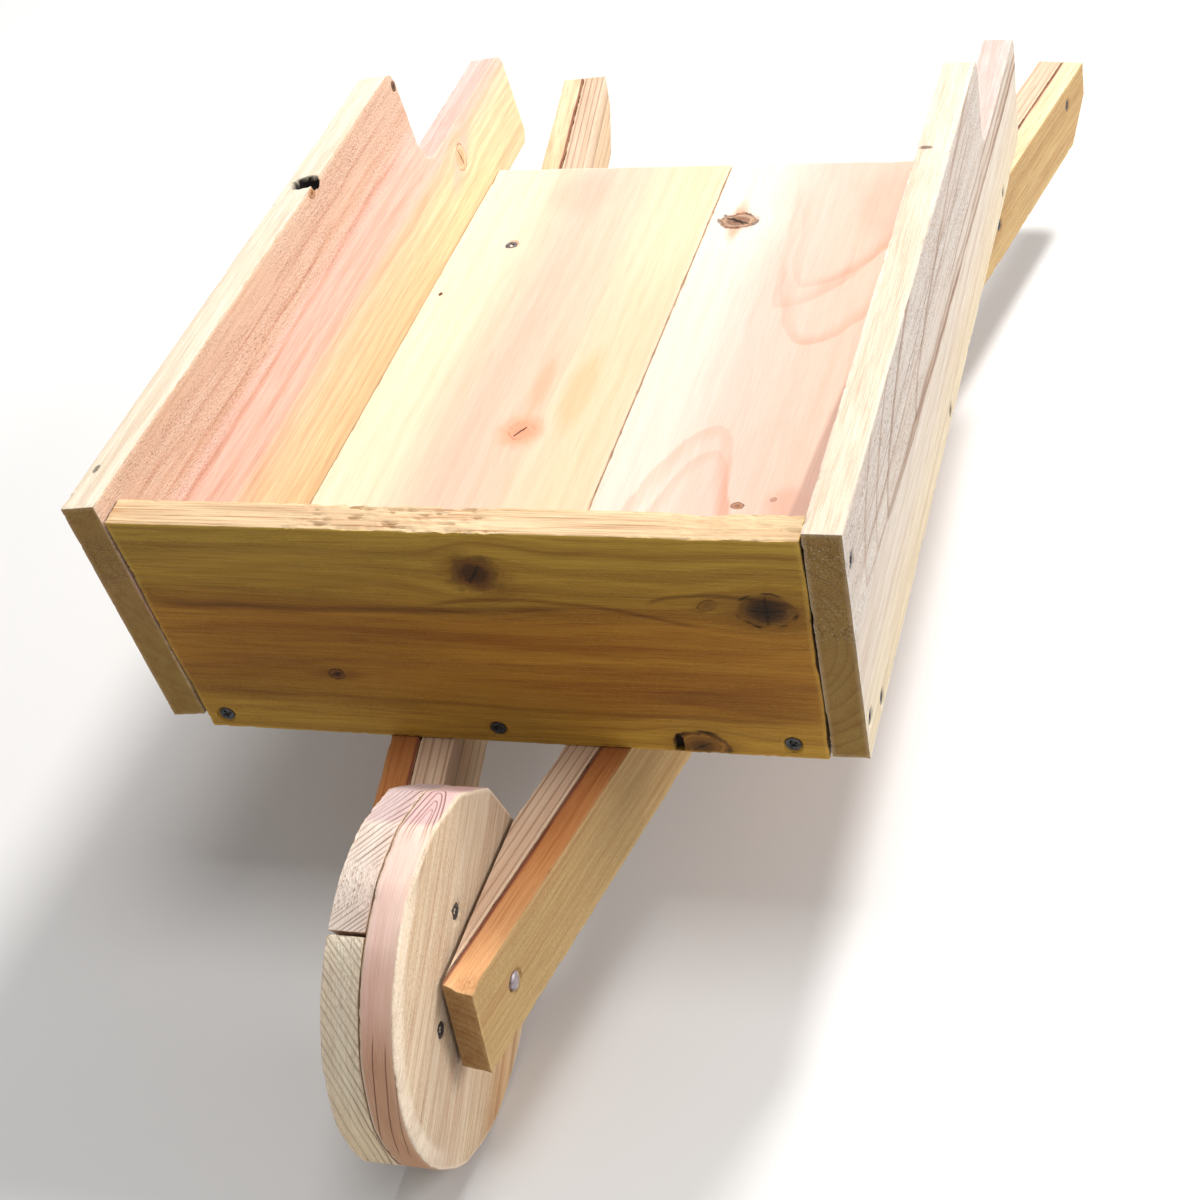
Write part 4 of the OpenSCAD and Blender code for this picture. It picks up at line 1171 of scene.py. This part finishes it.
# ---------------------------------------------------------------- screws
def screw_mesh(name, placed, body, node, mat, length=30.0):
    """Countersunk screws with a cross recess. placed: matrices in mm with -Z down the shank and z = 0 on the wood's face, and lengths."""
    V, F = [], []
    rad = [0.0, 0.5, 1.0, 1.5, 2.0, 2.5, 3.0, 3.5, 3.9, 4.05]
    n = 48
    for M, L, turn in placed:
        base = len(V)
        ring_ids = []

        def head_z(x, y):
            r = math.hypot(x, y)
            z = -0.62 - 0.02 * r
            a, b = abs(x), abs(y)
            arm = min(max(a, b) / 2.3, 2.0)
            half = 0.62
            d = 0.0
            if min(a, b) < half and max(a, b) < 2.3:
                d = 1.25 * (1 - arm**3 * 0.6)
            elif r < 1.1:
                d = 1.25
            return z - d

        for r in rad:
            ids = []
            for i in range(n if r > 0 else 1):
                t = 2 * math.pi * i / n + turn
                x, y = r * math.cos(t), r * math.sin(t)
                lx, ly = r * math.cos(2 * math.pi * i / n), r * math.sin(2 * math.pi * i / n)
                ids.append(len(V))
                V.append(M @ Vector((x, y, head_z(lx, ly))))
            ring_ids.append(ids)
        prof = [(4.05, -1.05), (2.05, -3.4), (2.0, -L + 5)]
        for r, z in prof:
            ids = []
            for i in range(n):
                t = 2 * math.pi * i / n + turn
                ids.append(len(V))
                V.append(M @ Vector((r * math.cos(t), r * math.sin(t), z)))
            ring_ids.append(ids)
        tip = len(V)
        V.append(M @ Vector((0, 0, -L + 0.3)))
        for i in range(n):
            F.append((ring_ids[0][0], ring_ids[1][i], ring_ids[1][(i + 1) % n]))
        for a, b in zip(ring_ids[1:], ring_ids[2:]):
            for i in range(n):
                F.append((a[i], b[i], b[(i + 1) % n], a[(i + 1) % n]))
        for i in range(n):
            F.append((ring_ids[-1][i], tip, ring_ids[-1][(i + 1) % n]))
    me = bpy.data.meshes.new(name)
    me.from_pydata([tuple(v * MM) for v in V], [], F)
    me.validate()
    me.update()
    bm = bmesh.new()
    bm.from_mesh(me)
    bmesh.ops.recalc_face_normals(bm, faces=bm.faces)
    for f in bm.faces:
        f.smooth = True
    bm.to_mesh(me)
    bm.free()
    me.set_sharp_from_angle(angle=math.radians(35))
    me.materials.append(mat)
    ob = bpy.data.objects.new(name, me)
    scene.collection.objects.link(ob)
    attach(ob, body)
    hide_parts(node)
    return ob


def at(M, axis_from_z):
    return M @ axis_from_z


RX = lambda d: Matrix.Rotation(math.radians(d), 4, "X")
RY = lambda d: Matrix.Rotation(math.radians(d), 4, "Y")
TR = Matrix.Translation
front_m = TRAY @ Matrix.Rotation(LEAN, 4, "X")
screw_mesh("front_board_screws_metal", [(front_m @ TR((x, 0, 9.2)) @ RX(90), 32, 0.3 + i) for i, x in enumerate((-155, -4, 148))],
           "barrow", "front_board_screws", DARK)
for sign, nm, splay, top in ((1, "right", 0.5, 144.4), (-1, "left", 6.5, 149.9)):
    s = math.radians(splay)
    pl = []
    for i, (pu, pv) in enumerate(screws_side(top)):
        M = TRAY @ TR((sign * (166.4 + top * math.tan(s)), 0, top)) @ Matrix.Rotation(sign * s, 4, "Y") @ TR((sign * T, pu, pv)) @ RY(sign * 90)
        pl.append((M, 40, 0.5 * i))
    screw_mesh(f"{nm}_side_screws_metal", pl, "barrow", f"{nm}_side_screws", DARK)
pl = []
for s in (-1, 1):
    pl.append((TRAY @ TR((s * 52, 75, T)), 45, 0.4))
    pl.append((TRAY @ TR((s * 129.5, 455, T)), 60, 1.1 * s))
screw_mesh("floor_screws_metal", pl, "barrow", "floor_screws", STEEL)
pl = []
for s in (-1, 1):
    for i, (pu, pv) in enumerate(rs):
        M = RAILS @ TR((s * X0, 0, 0)) @ Matrix.Rotation(-s * RA, 4, "Z") @ TR((0, pu, pv)) @ RY(s * 90)
        pl.append((M, 30, 0.7 * i + s))
screw_mesh("rail_screws_metal", pl, "barrow", "rail_screws", DARK)
pl = []
for s in (-1, 1):
    for i, (a, z) in enumerate([(14, -16), (36, -38)]):
        M = RAILS @ TR((s * X0, 0, 0)) @ Matrix.Rotation(-s * RA, 4, "Z") @ TR((-s * (OUT_T + IN_T + T + 0.05), 384 + a, z)) @ RY(-s * 90)
        pl.append((M, 42, 0.9 * i))
screw_mesh("leg_screws_metal", pl, "barrow", "leg_screws", STEEL)
pl = []
for k in range(4):
    M = WHEEL @ RX(-(96 + 90 * k)) @ TR((WT, -38, 0)) @ RY(90)
    pl.append((M, 32, 0.6 * k))
screw_mesh("wheel_screws_metal", pl, "wheel", "wheel_screws", DARK)

for n in ("axle", "axle_washers"):
    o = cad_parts[n]
    if not o.data.materials:
        o.data.materials.append(None)
    for sl in o.material_slots:
        sl.link = "OBJECT"
        sl.material = ROD if n == "axle" else STEEL

# ---------------------------------------------------------------- stage and light
bm = bmesh.new()
bmesh.ops.create_grid(bm, x_segments=1, y_segments=1, size=14)
me = bpy.data.meshes.new("floor_plane")
bm.to_mesh(me)
bm.free()
fl = bpy.data.objects.new("floor_plane", me)
scene.collection.objects.link(fl)
g = Nodes("pale_floor")
g.bsdf.inputs["Base Color"].default_value = (0.74, 0.74, 0.74, 1)
g.bsdf.inputs["Roughness"].default_value = 0.9
me.materials.append(g.mat)

world = bpy.data.worlds.new("studio")
scene.world = world
world.use_nodes = True
bg = world.node_tree.nodes["Background"]
bg.inputs[0].default_value = (1.0, 1.0, 1.0, 1)
bg.inputs[1].default_value = 0.37


def area(name, loc, target, size, power, colour=(1, 1, 1)):
    ld = bpy.data.lights.new(name, "AREA")
    ld.shape = "DISK"
    ld.size = size
    ld.energy = power
    ld.color = colour
    lo = bpy.data.objects.new(name, ld)
    scene.collection.objects.link(lo)
    lo.location = loc
    lo.rotation_mode = "QUATERNION"
    lo.rotation_quaternion = (Vector(target) - Vector(loc)).to_track_quat("-Z", "Y")
    return lo


area("key", (0.75, 2.0, 2.72), (0, 0, 0.15), 0.6, 104, (1.0, 0.98, 0.95))
area("over", (0.25, -0.25, 3.3), (0, 0, 0.1), 1.3, 40, (1.0, 0.99, 0.98))
area("side", (2.8, 0.6, 1.3), (0, 0, 0.15), 1.6, 66, (1.0, 0.98, 0.96))

scene.view_settings.view_transform = "Standard"
scene.view_settings.look = "None"
scene.view_settings.exposure = 0.0
scene.view_settings.gamma = 1.0
